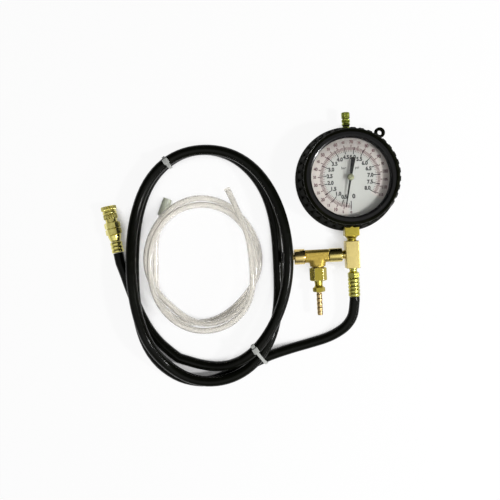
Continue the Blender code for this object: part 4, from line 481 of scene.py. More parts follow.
def glass(name):
    """Clear window with faint smears in its gloss."""
    made, tree, shader, place = blank(name)
    smears = noise(tree, place, 60.0, 4.0, distortion=0.8)
    feed(tree, shader.inputs, {
        "Base Color": (0.985, 0.99, 0.985, 1.0),
        "Roughness": sort(tree, smears, 0.45, 0.8, 0.0, 0.03),
        "Transmission Weight": 1.0, "IOR": WINDOW_IOR,
    })
    let_lamps_through(tree, shader, 0.97)
    return made


def dial_paint(name):
    """White dial with a pinkish outer band and painted shade that greys its top; it stays white at the
    lower right.
    """
    settings = bpy.context.scene.gauge_dial
    made, tree, shader, place = blank(name)
    around = use_group(tree, "about_the_dial", {"Place": place})
    outside = sort(tree, around["Radius"], *BAND_EDGE)
    up_to_end = sort(tree, around["Angle"], *BAND_END_EDGE)
    from_start = sort(tree, around["Angle"], *BAND_START_EDGE)
    mask = calc(tree, "MULTIPLY", outside, calc(tree, "MAXIMUM", up_to_end, from_start))
    banded = blend_colour(tree, mask, opaque(settings.face), opaque(settings.band))
    # Painted shade: towards its top the dial is blended into a darker copy of the band's colour
    height = add(tree, "ShaderNodeSeparateXYZ", {"Vector": place}).outputs["Y"]
    top_shade_share = sort(tree, height, *TOP_SHADE_RISE, 0.0, 0.9)
    top_shaded = blend_colour(tree, top_shade_share, banded, opaque(times(settings.band, TOP_SHADE_SHARE)))
    mottle = sort(tree, noise(tree, place, 420.0, 3.0), 0.4, 0.7, 0.0, 0.35)
    faded = blend_colour(tree, mottle, top_shaded, opaque(times(settings.face, 0.93)))
    feed(tree, shader.inputs, {"Base Color": faded, "Roughness": 0.55})
    return made


def printed(name, colour):
    """Ink that is thin in places."""
    made, tree, shader, place = blank(name)
    thin = sort(tree, noise(tree, place, 1500.0, 2.0), 0.5, 0.75, 0.0, 0.5)
    paler = opaque([share * 0.6 + 0.10 for share in colour])
    mixed = blend_colour(tree, thin, opaque(colour), paler)
    feed(tree, shader.inputs, {"Base Color": mixed, "Roughness": 0.6})
    return made


def make_finishes():
    """Every finish by its name; the stretch sets how close its tool marks lie along each axis."""
    colours = bpy.context.scene.gauge_brass
    boot = bpy.context.scene.gauge_boot.rubber
    dial = bpy.context.scene.gauge_dial
    hose = bpy.context.scene.gauge_hose
    even, milled = (900.0, 900.0, 900.0), (5200.0, 90.0, 900.0)
    along_x, along_y = (5200.0, 60.0, 60.0), (60.0, 5200.0, 60.0)
    brass("pale_block", colours.pale, 0.34, milled, 0.14, 0.00002)
    brass("olive_flats", colours.olive, 0.30, milled, 0.30)
    brass("olive_hex", colours.olive, 0.26, (1400.0, 90.0, 900.0), 0.30)
    # Paler brass for the nut's bevels: partly edge wear, partly a painted highlight along the corners
    brass("worn_edge_and_painted_highlight", (0.92, 0.84, 0.46), 0.22, even, 0.08)
    brass("turned_x", (0.74, 0.61, 0.20), 0.20, along_x, 0.20)
    brass("valve_brass", (0.80, 0.62, 0.24), 0.20, along_x, 0.25)
    brass("forged", (0.51, 0.375, 0.085), 0.48, even, 0.35, 0.00008, 420.0, 1.0)
    brass("green_ferrule", colours.green, 0.28, along_y, 0.35)
    brass("green_cap", (0.34, 0.39, 0.075), 0.28, along_y, 0.35)
    brass("red_turned_y", colours.red, 0.28, along_y, 0.45)
    brass("coupler_brass", (0.84, 0.76, 0.25), 0.19, along_y, 0.45, 0.00002, 230.0)
    brass("plate_brass", colours.golden, 0.34, (90.0, 3200.0, 900.0), 0.3)
    brass("hub_brass", (0.21, 0.225, 0.145), 0.45, even, 0.3)
    brass("plain_steel", (0.56, 0.57, 0.58), 0.28, along_y, 0.0)
    brass("case_enamel", (0.045, 0.045, 0.048), 0.34, even, 0.0)
    moulded("grip_rubber", boot, times(boot, 2.2), 0.50, 0.00006, 1500.0, 90.0, 0.004)
    moulded("glossy_rubber", times(boot, 1.6), times(boot, 3.0), 0.22, 0.00003, 1500.0, 90.0, 0.35)
    moulded("bezel_enamel", (0.005, 0.005, 0.005), (0.007, 0.007, 0.007), 0.17, 0.00001, 900.0, 60.0,
            0.35)
    moulded("matt_black", (0.004, 0.004, 0.004), (0.006, 0.006, 0.006), 0.60, 0.00001, shine=0.02)
    moulded("needle_paint", (0.010, 0.010, 0.009), (0.014, 0.014, 0.013), 0.45, 0.00001, shine=0.05)
    moulded("button_plastic", (0.010, 0.010, 0.010), (0.02, 0.02, 0.02), 0.26, 0.00002, shine=0.3)
    moulded("seal_black", (0.010, 0.010, 0.010), (0.02, 0.02, 0.02), 0.55, shine=0.15)
    moulded("tie_nylon", (0.44, 0.45, 0.43), (0.36, 0.37, 0.35), 0.40, 0.00003, 1400.0, 200.0, 0.3)
    moulded("smooth_rubber", hose.rubber, times(hose.rubber, 1.7), 0.14, 0.00004, 2400.0, 160.0, 0.11)
    clear_vinyl("clear_line", hose.vinyl, 0.74, 0.08)
    clear_vinyl("milky_cuff", (0.75, 0.78, 0.66), 0.45, 0.30)
    dial_paint("dial_paint")
    printed("ink", dial.ink)
    printed("red_ink", dial.red_ink)
    glass("window_glass")


def finish(name):
    """One of the finishes, which are all made when the first is asked for."""
    if name not in bpy.data.materials:
        make_finishes()
    return bpy.data.materials[name]


# Shapes

def seat(origin, direction):
    """A place whose +Z points along a direction and whose +Y stays as upright as it can."""
    return Matrix.Translation(origin) @ direction.to_track_quat("Z", "Y").to_matrix().to_4x4()


DIAL = Matrix()
STEM = seat((0.0, 0.0, STEM_HEIGHT), DOWN_THE_STEM)
VENT = seat((0.0, 0.0, STEM_HEIGHT), UP_THE_STEM)
BRANCH = seat((0.0, BRANCH_Y, STEM_HEIGHT), ALONG_BRANCH)
DROP = seat((BRANCH_X, 0.0, STEM_HEIGHT), DOWN_THE_STEM)
COUPLER = seat(COUPLER_FOOT, COUPLER_DIRECTION)


def lathe(outline, steps=72, closed=False):
    """Spin an outline of (radius, distance) in millimetres about +Z."""
    shape = bmesh.new()
    verts = [shape.verts.new((radius * MM, 0.0, distance * MM)) for radius, distance in outline]
    edges = [shape.edges.new(pair) for pair in zip(verts, verts[1:])]
    if closed:
        edges.append(shape.edges.new((verts[-1], verts[0])))
    bmesh.ops.spin(shape, geom=verts + edges, cent=(0.0, 0.0, 0.0), axis=UP, angle=FULL_TURN,
                   steps=steps, use_merge=True, use_duplicate=False)
    bmesh.ops.remove_doubles(shape, verts=shape.verts, dist=MERGE)
    return shape


def prism(low, high, edge=0.0):
    """A box between two corners in millimetres, with its edges rounded."""
    shape = bmesh.new()
    low, high = Vector(low) * MM, Vector(high) * MM
    bmesh.ops.create_cube(shape, size=1.0, matrix=Matrix.Translation((low + high) / 2)
                          @ Matrix.Diagonal((*(high - low), 1.0)))
    if edge:
        bmesh.ops.bevel(shape, geom=shape.edges[:], offset=edge * MM, segments=3, profile=0.5,
                        affect="EDGES", material=-1)
    return shape


def placed(shape, place):
    bmesh.ops.transform(shape, matrix=place, verts=shape.verts)
    return shape


def circle(centre, radius, count):
    """Points round a circle on a plane."""
    return [(centre[0] + radius * math.cos(FULL_TURN * i / count),
             centre[1] + radius * math.sin(FULL_TURN * i / count)) for i in range(count)]


def thickened(shape, rise):
    """Extrude a flat shape along +Z."""
    lifted = bmesh.ops.extrude_face_region(shape, geom=shape.faces[:])["geom"]
    bmesh.ops.translate(shape, vec=(0.0, 0.0, rise),
                        verts=[part for part in lifted if isinstance(part, bmesh.types.BMVert)])


def in_mm(corners):
    """The two corners of a box in millimetres."""
    return [[value / MM for value in corner] for corner in corners]


def together(*shapes):
    """Put several shapes into the first one."""
    for other in shapes[1:]:
        mesh = bpy.data.meshes.new("part")
        other.to_mesh(mesh)
        other.free()
        shapes[0].from_mesh(mesh)
        bpy.data.meshes.remove(mesh)
    return shapes[0]


def hexed(shape, corner, low, high, turn=0.0):
    """Press a turned shape into a hexagon between two distances, where it stands outside one."""
    for vert in shape.verts:
        if low * MM - MERGE <= vert.co.z <= high * MM + MERGE:
            angle = (math.atan2(vert.co.y, vert.co.x) - turn) % (math.pi / 3) - math.pi / 6
            flat = corner * MM * math.cos(math.pi / 6) / math.cos(angle)
            radius = math.hypot(vert.co.x, vert.co.y)
            if radius > flat:
                vert.co.x *= flat / radius
                vert.co.y *= flat / radius
    return shape


def hex_band(corner, low, high):
    """The outline of a chamfered hexagon's corners, from low to high."""
    steps, chamfer = 5, 0.09 * corner
    rise = [(corner * (0.84 + 0.16 * i / steps), low + chamfer * i / steps) for i in range(steps + 1)]
    return rise + [(radius, low + high - distance) for radius, distance in reversed(rise)]


def knurled(shape, count, depth, low, high, lead=0.0):
    """Sink crossing grooves between two distances; a lead of zero makes straight ones."""
    for vert in shape.verts:
        radius = math.hypot(vert.co.x, vert.co.y)
        if low * MM < vert.co.z < high * MM and radius > 2.5 * MM:
            angle = math.atan2(vert.co.y, vert.co.x) * count
            slide = lead * vert.co.z / MM
            groove = max(abs(math.sin((angle + slide) / 2)), abs(math.sin((angle - slide) / 2)))
            share = 1 - depth * MM * (1 - groove) * 2 / radius
            vert.co.x *= share
            vert.co.y *= share
    return shape


def rings(radius, low, high, step):
    """Outline points of a plain band, close enough together to take a knurl."""
    count = max(1, round((high - low) / step))
    return [(radius, low + (high - low) * i / count) for i in range(count + 1)]


def ribbed_band(radius, groove, low, high, count):
    """The outline of rounded crimp rings with grooves between them."""
    pitch = (high - low) / count
    outline = []
    for i in range(count):
        foot = low + pitch * i
        outline += [(radius - groove, foot), (radius - groove * 0.25, foot + pitch * 0.12),
                    (radius, foot + pitch * 0.28), (radius, foot + pitch * 0.66),
                    (radius - groove * 0.25, foot + pitch * 0.82), (radius - groove, foot + pitch * 0.93)]
    outline.append((radius - groove, high))
    return outline


def to_mesh(shape):
    """A mesh of a shape, with its faces pointing outwards."""
    mesh = bpy.data.meshes.new("work")
    bmesh.ops.recalc_face_normals(shape, faces=shape.faces)
    shape.to_mesh(mesh)
    shape.free()
    return mesh


def to_shape(mesh):
    """A shape to work on, made from a mesh that is no longer needed."""
    shape = bmesh.new()
    shape.from_mesh(mesh)
    bpy.data.meshes.remove(mesh)
    return shape


def applied(data, *steps):
    """The mesh that a curve, words or a mesh make with modifiers, given as kind and options."""
    holder = bpy.data.objects.new("work", data)
    bpy.context.scene.collection.objects.link(holder)
    for kind, options in steps:
        modifier = holder.modifiers.new(kind.lower(), kind)
        for option, value in options.items():
            setattr(modifier, option, value)
    bpy.context.view_layer.update()
    graph = bpy.context.evaluated_depsgraph_get()
    made = bpy.data.meshes.new_from_object(holder.evaluated_get(graph))
    bpy.data.objects.remove(holder, do_unlink=True)
    return made


def show(name, shape, material, body, *nodes, soft=0.0, angle=32.0, edge_material=None, slot=None,
         flats=False):
    """Make a piece of a shape, round its edges, and let it ride on its body for its nodes."""
    mesh = to_mesh(shape)
    mesh.name = name
    mesh.materials.clear()
    mesh.materials.append(finish(material))
    mesh.shade_smooth()
    mesh.set_sharp_from_angle(angle=math.radians(angle))
    piece = bpy.data.objects.new(name, mesh)
    bpy.context.scene.collection.objects.link(piece)
    if soft:
        edge = piece.modifiers.new("soft edges", "BEVEL")
        edge.width = soft * MM
        edge.segments = 3
        edge.limit_method = "ANGLE"
        edge.angle_limit = math.radians(angle)
        if edge_material:
            mesh.materials.append(finish(edge_material))
            edge.material = 1
    if flats:
        piece.modifiers.new("flat faces", "WEIGHTED_NORMAL").keep_sharp = True
    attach(piece, body)
    if nodes:
        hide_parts(*nodes)
    return piece


def turned(name, outline, place, material, body, *nodes, steps=96, **looks):
    """Make a piece that is turned from a closed outline on its own axis."""
    show(name, placed(lathe(outline, steps, closed=True), place), material, body, *nodes, **looks)


def hex_turned(outline, corner, low, high, turn=0.0):
    """A turned shape with a hexagon between two distances."""
    return hexed(lathe(outline, 96, closed=True), corner, low, high, turn)


def cut_away(shape, cutter):
    """Cut a shape with another by a Boolean."""
    tool = bpy.data.objects.new("cutter", to_mesh(cutter))
    bpy.context.scene.collection.objects.link(tool)
    mesh = applied(to_mesh(shape), ("BOOLEAN", {"operation": "DIFFERENCE", "object": tool}))
    bpy.data.objects.remove(tool, do_unlink=True)
    return to_shape(mesh)


# Routes of the hoses

def eased(keys, at):
    """A value that eases from one key to the next and rests at each."""
    if at <= keys[0][0]:
        return keys[0][1]
    for (start, low), (end, high) in zip(keys, keys[1:]):
        if at <= end:
            share = (1 - math.cos(math.pi * (at - start) / (end - start))) / 2
            return low + (high - low) * share
    return keys[-1][1]


def curve_between(share, start, leaving, end, arriving):
    """A value or a place on the smooth curve between two others, with its slope at each."""
    square, cube = share ** 2, share ** 3
    return ((2 * cube - 3 * square + 1) * start + (cube - 2 * square + share) * leaving
            + (3 * square - 2 * cube) * end + (cube - square) * arriving)


def flowing(keys, at):
    """A value on a smooth curve through the keys."""
    i = 1
    while i < len(keys) - 3 and at > keys[i + 1][0]:
        i += 1
    (x0, y0), (x1, y1), (x2, y2), (x3, y3) = keys[i - 1:i + 3]
    slope1, slope2 = (y2 - y0) / (x2 - x0), (y3 - y1) / (x3 - x1)
    span = x2 - x1
    return curve_between((at - x1) / span, y1, span * slope1, y2, span * slope2)


def oval_point(turn, centre, half_sizes, reaches, layers, radius):
    """The place of a tube wound round an oval, at a turn."""
    angle = FULL_TURN * turn
    reach = flowing(reaches, turn)
    layer = 2 * radius + STRAND_GAP
    return Vector((centre[0] - half_sizes[0] * reach * math.sin(angle),
                   centre[1] - half_sizes[1] * reach * math.cos(angle),
                   radius + layer * eased(layers, turn)))


def coil_point(turn):
    return oval_point(turn, COIL_CENTRE, COIL_HALF_SIZES, COIL_REACH_SHARES, COIL_LAYER_SHARES,
                      HOSE_RADIUS)


def drain_point(turn):
    return oval_point(turn, DRAIN_CENTRE, DRAIN_HALF_SIZES, DRAIN_REACH_SHARES, DRAIN_LAYER_SHARES,
                      DRAIN_RADIUS)


def wound(place, start, finish_turn, straight):
    """Points along a wound tube whose two ends run straight."""
    count = round((finish_turn - start) * POINTS_A_LOOP)
    points = [place(start + (finish_turn - start) * i / count) for i in range(count + 1)]
    ahead = (points[1] - points[0]).normalized()
    behind = (points[-1] - points[-2]).normalized()
    return [points[0] - ahead * straight] + points + [points[-1] + behind * straight]


def along_route(route):
    """Points a step apart on a smooth curve through a route's own points."""
    points = []
    for i in range(len(route) - 1):
        before, here = route[max(i - 1, 0)], route[i]
        there, after = route[i + 1], route[min(i + 2, len(route) - 1)]
        count = max(1, round((there - here).length / ROUTE_STEP))
        for k in range(count):
            leaving, arriving = (there - before) / 2, (after - here) / 2
            points.append(curve_between(k / count, here, leaving, there, arriving))
    return points + [route[-1]]


def hose_route():
    """The whole test hose in one line, from the ferrule under the gauge to the coupler."""
    coil = wound(coil_point, COIL_START, COIL_FINISH, 2 * HOSE_RADIUS)
    first = Vector(HOSE_EXIT)
    entry = (coil[1] - coil[0]).normalized()
    leaving = (coil[-1] - coil[-2]).normalized()
    lead = [first + DOWN_THE_STEM * END_STRAIGHT] + [Vector(point) for point in LEAD_ROUTE]
    lead.append(coil[0] - entry * END_STRAIGHT)
    tail = [coil[-1] + leaving * END_STRAIGHT] + [Vector(point) for point in TAIL_ROUTE]
    tail.append(COUPLER_FOOT - COUPLER_DIRECTION * (FACE_GAP + 2 * HOSE_RADIUS))
    last = COUPLER_FOOT - COUPLER_DIRECTION * FACE_GAP
    return [first] + along_route(lead) + coil + along_route(tail) + [last]


def drain_route():
    return wound(drain_point, DRAIN_START, DRAIN_FINISH, 2 * DRAIN_RADIUS)


def tube(points, radius, sides, wall=0.0):
    """A round tube along points, hollow where it has a wall."""
    curve = bpy.data.curves.new("tube", "CURVE")
    curve.dimensions = "3D"
    curve.bevel_depth = radius
    curve.bevel_resolution = sides // 2 - 2
    curve.use_fill_caps = not wall
    spline = curve.splines.new("POLY")
    spline.points.add(len(points) - 1)
    for point, place in zip(spline.points, points):
        point.co = (*place, 1.0)
    shape = to_shape(applied(curve))
    bmesh.ops.remove_doubles(shape, verts=shape.verts, dist=MERGE)
    if wall:
        hollow = ("SOLIDIFY", {"thickness": wall, "offset": -1.0})
        shape = to_shape(applied(to_mesh(shape), hollow))
    return shape


def flat_hull(points):
    """The convex outline round places on a plane."""
    def half(ordered):
        line = []
        for point in ordered:
            while len(line) > 1 and ((line[-1][0] - line[-2][0]) * (point[1] - line[-2][1])
                                     - (line[-1][1] - line[-2][1]) * (point[0] - line[-2][0])) <= 0:
                line.pop()
            line.append(point)
        return line[:-1]
    ordered = sorted(points)
    return half(ordered) + half(ordered[::-1])


# Dial print

def text_shape(words, height, place, thin=1.0, bold=0.08):
    """Words of the built-in font, as flat faces centred on a place."""
    curve = bpy.data.curves.new("words", "FONT")
    curve.body = words
    curve.align_x = "CENTER"
    curve.align_y = "CENTER"
    curve.size = height / CAPITAL_SHARE
    curve.resolution_u = 3
    curve.offset = bold * height
    return placed(to_shape(applied(curve)), place @ Matrix.Diagonal((thin, 1.0, 1.0, 1.0)))


def tick(shape, angle, inner, outer, width, height):
    """One line of a scale, as a thin raised bar."""
    place = (Matrix.Rotation(angle, 4, "Z") @ Matrix.Translation(((inner + outer) / 2, 0.0, height))
             @ Matrix.Diagonal((outer - inner, width, PRINT_RISE, 1.0)))
    bmesh.ops.create_cube(shape, size=1.0, matrix=place)


def polar(radius, angle, height):
    return Vector((radius * math.cos(angle), radius * math.sin(angle), height))


def bar_print():
    """The inner scale: a line each tenth, a longer one and a number each half."""
    height = DIAL_FACE + PRINT_RISE
    shape = bmesh.new()
    for tenth in range(BAR_LAST * 10 + 1):
        angle = BAR_ZERO - BAR_STEP * tenth / 10
        if tenth % 5 == 0:
            tick(shape, angle, 22.6 * MM, 29.4 * MM, 0.85 * MM, height)
        else:
            tick(shape, angle, 24.6 * MM, 26.2 * MM, 0.46 * MM, height)
    tall = bpy.context.scene.gauge_dial.number_height
    words = []
    for half in range(1, BAR_LAST * 2 + 1):
        angle = BAR_ZERO - BAR_STEP * half / 2
        words.append(text_shape(f"{half / 2:.1f}", tall,
                                Matrix.Translation(polar(19.6 * MM, angle, height)), 0.94))
    words.append(text_shape("0", 4.0 * MM, Matrix.Translation((2.6 * MM, -18.4 * MM, height))))
    for unit, x in (("bar", -5.8 * MM), ("psi", 7.0 * MM)):
        words.append(text_shape(unit, 2.5 * MM, Matrix.Translation((x, 9.2 * MM, height)), bold=0.02))
    return together(shape, *words)


def psi_print():
    """The outer scale: a line each unit, a longer one each five, and numbers."""
    height = DIAL_FACE + PRINT_RISE
    shape = bmesh.new()
    for unit in range(PSI_LAST + 1):
        angle = PSI_ZERO - PSI_STEP * unit
        if unit % 5 == 0:
            tick(shape, angle, 26.4 * MM, 31.2 * MM, 0.84 * MM, height)
        else:
            tick(shape, angle, 26.4 * MM, 29.2 * MM, 0.70 * MM, height)
    words = []
    for unit in range(5, PSI_LAST + 1, 5):
        angle = PSI_ZERO - PSI_STEP * unit
        tall = (3.0 if unit % 10 == 0 else 2.4) * MM
        words.append(text_shape(str(unit), tall, Matrix.Translation(polar(34.0 * MM, angle, height)),
                                0.85))
    words.append(text_shape("0", 2.4 * MM, Matrix.Translation(polar(33.6 * MM, PSI_ZERO, height))))
    return together(shape, *words)


# Operators

class Step(bpy.types.Operator):
    """One step of the making of the gauge."""
    bl_idname = "gauge.step"
    bl_label = "Step"
    bl_options = {"REGISTER"}


class GAUGE_OT_camera(Step):
    """Put the camera straight over the gauge and its hose."""
    bl_idname = "gauge.camera"
    bl_label = "Camera"

    def execute(self, context):
        settings = context.scene.gauge_stage
        data = bpy.data.cameras.new("camera")
        data.sensor_width = 36.0
        data.lens = CAMERA_LENS
        data.shift_x, data.shift_y = CAMERA_SHIFT
        data.clip_start = 0.01
        camera = bpy.data.objects.new("camera", data)
        camera.location = (*CAMERA_PLACE, settings.camera_height)
        camera.rotation_euler = (0.0, 0.0, settings.camera_turn)
        context.scene.collection.objects.link(camera)
        context.scene.camera = camera
        return {"FINISHED"}


class GAUGE_OT_test_hose(Step):
    """Lay the black test hose from the ferrule through its loops to the coupler."""
    bl_idname = "gauge.test_hose"
    bl_label = "Test hose"

    def execute(self, context):
        route = hose_route()
        shape = tube(route, HOSE_RADIUS, context.scene.gauge_hose.sides)
        show("test_hose", shape, "smooth_rubber", "base", "hose_lead", "hose_coil", "hose_tail",
             angle=50.0)
        return {"FINISHED"}


class GAUGE_OT_drain_tube(Step):
    """Lay the clear drain tube inside the wound hose, with its cuff on one end."""
    bl_idname = "gauge.drain_tube"
    bl_label = "Drain tube"

    def execute(self, context):
        route = drain_route()
        shape = tube(route, DRAIN_RADIUS, 24, DRAIN_WALL)
        line = show("drain_line", shape, "clear_line", "base", "drain_tube", angle=50.0)
        leaving = (route[-1] - route[-2]).normalized()
        place = seat(route[-1] - leaving * CUFF_GRIP * MM, leaving)
        cuff = lathe([(3.25, 0.4), (3.7, 0.0), (4.3, 0.0), (4.5, 0.3), (4.5, 17.6), (4.2, 18.0),
                      (3.5, 18.0), (3.3, 17.5), (3.3, 7.6), (3.25, 7.2)], 40, closed=True)
        sleeve = show("drain_cuff", placed(cuff, place), "milky_cuff", "base", "drain_sleeve")
        return {"FINISHED"}


class GAUGE_OT_boot(Step):
    """Model the rubber boot with its flared skirt, grip ribs, hanging loop and two holes."""
    bl_idname = "gauge.boot"
    bl_label = "Rubber boot"

    def execute(self, context):
        settings = context.scene.gauge_boot
        low, high = in_mm(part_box("rubber_boot"))
        depth, back = high[2], -low[0]
        outline = [
            (0.0, 4.0), (41.2, 4.0), (41.5, 4.4), (41.5, 26.4), (43.0, 27.0), (43.0, depth - 1.5),
            (42.8, depth - 1.4), (42.8, depth - 0.3), (43.1, depth), (44.3, depth), (44.9, depth - 0.3),
            (45.4, depth - 1.2), (45.7, depth - 2.4), (46.2, depth - 3.0),
        ]
        outline += [(47.3 + 2.0 * (depth - 3.8 - height) / (depth - 18.0), height)
                    for height in (34.2, 33.4, 31.0, 28.0, 25.0, 22.0, 19.0, 17.0)]
        outline += [(49.2, 15.4), (49.35, 14.4), (49.5, 13.6), (49.75, 12.4), (50.0, 11.0), (50.7, 7.4),
                    (back - 0.05, 4.4), (back, 3.0), (back - 0.3, 1.6), (back - 0.9, 0.7),
                    (back - 1.8, 0.0), (0.0, 0.0)]
        boot = lathe(outline, settings.ribs * 8)
        top, bottom = (depth - 2.4) * MM, 13.4 * MM
        for vert in boot.verts:
            radius = math.hypot(vert.co.x, vert.co.y)
            if radius > 45.0 * MM and bottom < vert.co.z < top:
                share = (math.atan2(vert.co.y, vert.co.x) * settings.ribs / FULL_TURN) % 1.0
                groove = max(0.0, math.cos(FULL_TURN * share)) ** 1.5
                fade = min(1.0, (vert.co.z - bottom) / (2.2 * MM), (top - vert.co.z) / (1.2 * MM))
                vert.co.xy *= 1 - settings.rib_depth * groove * fade / radius
        stem_hole = placed(prism((-7.5, -7.5, 38.0), (7.5, 7.5, 56.0)), STEM)
        vent_hole = placed(lathe([(0.0, 38.0), (4.3, 38.0), (4.3, 56.0), (0.0, 56.0)], 32), VENT)
        boot = cut_away(boot, together(stem_hole, vent_hole))
        eye = lathe([(2.3, -2.2), (2.8, -3.0), (4.4, -3.0), (5.0, -2.5), (5.2, -1.6), (5.2, 1.6),
                     (5.0, 2.5), (4.4, 3.0), (2.8, 3.0), (2.3, 2.2)], 48, closed=True)
        web = prism((-6.4, -3.6, -2.4), (-3.2, 3.6, 2.4), 0.5)
        spot = Matrix.Rotation(LOOP_TURN, 4, "Z") @ Matrix.Translation(LOOP_PLACE)
        boot = together(boot, placed(together(eye, web), spot))
        show("boot_skin", boot, "grip_rubber", "base", "rubber_boot", angle=38.0)
        bead = circle((45.5, depth - 1.2), 0.55, 12)
        turned("boot_bead", bead, DIAL, "glossy_rubber", "base", steps=DIAL_STEPS, angle=60.0,
               slot="boot_rubber")
        return {"FINISHED"}


class GAUGE_OT_bezel(Step):
    """Turn the black bezel and the dark ring between the dial and the window."""
    bl_idname = "gauge.bezel"
    bl_label = "Bezel"

    def execute(self, context):
        top = BEZEL_TOP / MM
        bezel = [(38.1, top - 1.6), (38.1, top - 1.3), (38.75, top - 0.5), (39.05, top - 0.4),
                 (39.35, top - 0.1), (39.65, top), (42.7, top), (42.7, top - 9.0), (41.5, top - 9.0),
                 (41.5, top - 1.6)]
        turned("bezel_skin", bezel, DIAL, "bezel_enamel", "base", "bezel_ring", steps=DIAL_STEPS,
               angle=12.0)
        low, high = in_mm(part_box("dial_ring"))
        ring = [(37.9, low[2]), (39.4, low[2]), (39.4, high[2]), (37.9, high[2])]
        turned("dial_wall", ring, DIAL, "matt_black", "base", "dial_ring", steps=DIAL_STEPS)
        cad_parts["lens"].data.materials[0] = finish("window_glass")
        return {"FINISHED"}


class GAUGE_OT_dial(Step):
    """Paint the dial and print its two scales of plain numbers."""
    bl_idname = "gauge.dial"
    bl_label = "Dial"

    def execute(self, context):
        low, high = in_mm(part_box("dial_plate"))
        plate = [(2.2, high[2]), (39.4, high[2]), (39.4, low[2]), (2.2, low[2])]
        turned("dial_face", plate, DIAL, "dial_paint", "base", "dial_plate", steps=DIAL_STEPS)
        show("inner_scale", bar_print(), "ink", "base", slot="black_plastic")
        show("outer_scale", psi_print(), "red_ink", "base", slot="red_brass")
        return {"FINISHED"}


class GAUGE_OT_pointer(Step):
    """Model the black needle with its broad tail, and the hub that carries it."""
    bl_idname = "gauge.pointer"
    bl_label = "Pointer"

    def execute(self, context):
        low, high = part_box("pointer")
        middle = (low[2] + high[2]) / 2
        thick = high[2] - low[2]
        shape = bmesh.new()
        half_outline = [(29.2, 0.26), (24.0, 0.52), (6.6, 1.0), (3.3, 1.05), (-3.3, 1.35),
                        (-11.0, 1.75), (-17.6, 2.05), (-19.0, 2.0), (-19.4, 1.6)]
        outline = half_outline + [(x, -y) for x, y in reversed(half_outline)]
        verts = [shape.verts.new((x * MM, y * MM, 0.0)) for x, y in outline]
        shape.faces.new(verts)
        thickened(shape, thick)
        turn = Matrix.Rotation(NEEDLE_REST, 4, "Z")
        placed(shape, Matrix.Translation((0.0, 0.0, middle - thick / 2)) @ turn)
        show("needle", shape, "needle_paint", "pointer_train", "pointer", soft=0.12)
        low, high = in_mm(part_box("pointer_hub"))
        foot, top = low[2], high[2]
        hub = lathe([(0.0, top - 0.25), (0.7, top - 0.25), (0.85, top - 0.05), (1.1, top), (2.5, top - 0.1),
                     (3.1, top - 0.45), (3.3, top - 0.9), (3.3, foot + 0.1), (3.2, foot), (0.0, foot)], 48)
        show("needle_hub", hub, "hub_brass", "pointer_train", "pointer_hub", angle=40.0)
        return {"FINISHED"}


class GAUGE_OT_vent_cap(Step):
    """Turn and knurl the brass vent cap on top of the gauge."""
    bl_idname = "gauge.vent_cap"
    bl_label = "Vent cap"

    def execute(self, context):
        top = in_mm(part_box("vent_cap"))[1][1]
        foot = top - 12.7
        outline = [(0.0, top), (1.9, top), (2.1, top - 0.35), (2.6, top - 0.35), (2.8, top), (3.3, top),
                   (3.75, top - 0.3)]
        outline += rings(4.0, foot + 7.1, top - 0.7, 0.22)[::-1]
        outline += [(3.3, foot + 6.8), (3.15, foot + 6.2), (3.3, foot + 5.7)]
        outline += rings(4.0, foot + 3.2, foot + 5.4, 0.22)[::-1]
        outline += [(3.3, foot + 2.9), (3.3, foot + 2.2), (3.8, foot + 1.9), (4.0, foot + 1.5),
                    (4.0, foot + 0.3), (3.7, foot), (1.8, foot), (1.8, foot - 6.0), (0.0, foot - 6.0)]
        cap = knurled(lathe(outline, 144), 22, 0.32, foot + 3.0, top - 0.6, 5.0)
        show("vent_knob", placed(cap, VENT), "green_cap", "vent_screw", "vent_cap", angle=40.0)
        return {"FINISHED"}


class GAUGE_OT_stem(Step):
    """Model the stem: socket in the case, square flats, waisted neck and thread."""
    bl_idname = "gauge.stem"
    bl_label = "Stem"

    def execute(self, context):
        low, high = in_mm(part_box("stem_socket"))
        floor, rise = low[2], high[2]
        socket = prism((-7.0, -38.4, floor), (7.0, -22.0, rise), 0.4)
        tongue = prism((-7.0, -23.0, floor), (7.0, -8.0, 8.7), 0.3)
        neck = placed(lathe([(0.0, 37.4), (6.3, 37.4), (6.3, 44.6), (5.9, 45.6), (5.9, 46.5), (0.0, 46.5)],
                            64), STEM)
        flats = placed(prism((-7.1, -7.1, 45.5), (7.1, 7.1, 56.4), 0.8), STEM)
        thread = [(0.0, 55.4), (6.6, 55.4), (6.4, 56.7), (5.6, 57.6), (4.6, 58.5), (4.3, 59.4),
                  (4.6, 60.1), (4.5, 60.7)]
        thread += [(4.5 - 0.45 * (i % 2), 61.0 + 0.45 * i) for i in range(11)]
        thread += [(4.0, 66.0), (0.0, 66.0)]
        stem = together(flats, placed(lathe(thread, 64), STEM), neck, socket, tongue)
        show("stem_flats", stem, "olive_flats", "base", "stem_socket", angle=28.0, flats=True)
        return {"FINISHED"}


class GAUGE_OT_tee_block(Step):
    """Mill the square tee block with its bevelled edges and its three ports."""
    bl_idname = "gauge.tee_block"
    bl_label = "Tee block"

    def execute(self, context):
        low, high = in_mm(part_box("tee_block"))
        block = prism(low, (high[0] - BLOCK_TRIM, high[1], high[2]), 0.9)
        start, end, face = -high[1], -low[1], high[0]
        top_port = placed(lathe([(0.0, start - 1.0), (5.3, start - 1.0), (5.3, start), (4.8, start + 0.5),
                                 (4.8, start + 5.3), (0.0, start + 5.3)], 48), STEM)
        bottom_port = placed(lathe([(0.0, end - 5.3), (4.4, end - 5.3), (4.4, end - 0.5), (4.9, end),
                                    (4.9, end + 1.0), (0.0, end + 1.0)], 48), STEM)
        side_port = placed(lathe([(0.0, face - 2.9), (4.5, face - 2.9), (4.5, face - 0.5), (5.0, face),
                                  (5.0, face + 1.0), (0.0, face + 1.0)], 48), BRANCH)
        block = cut_away(block, together(top_port, bottom_port, side_port))
        show("block_skin", block, "pale_block", "base", "tee_block", angle=24.0, flats=True)
        return {"FINISHED"}


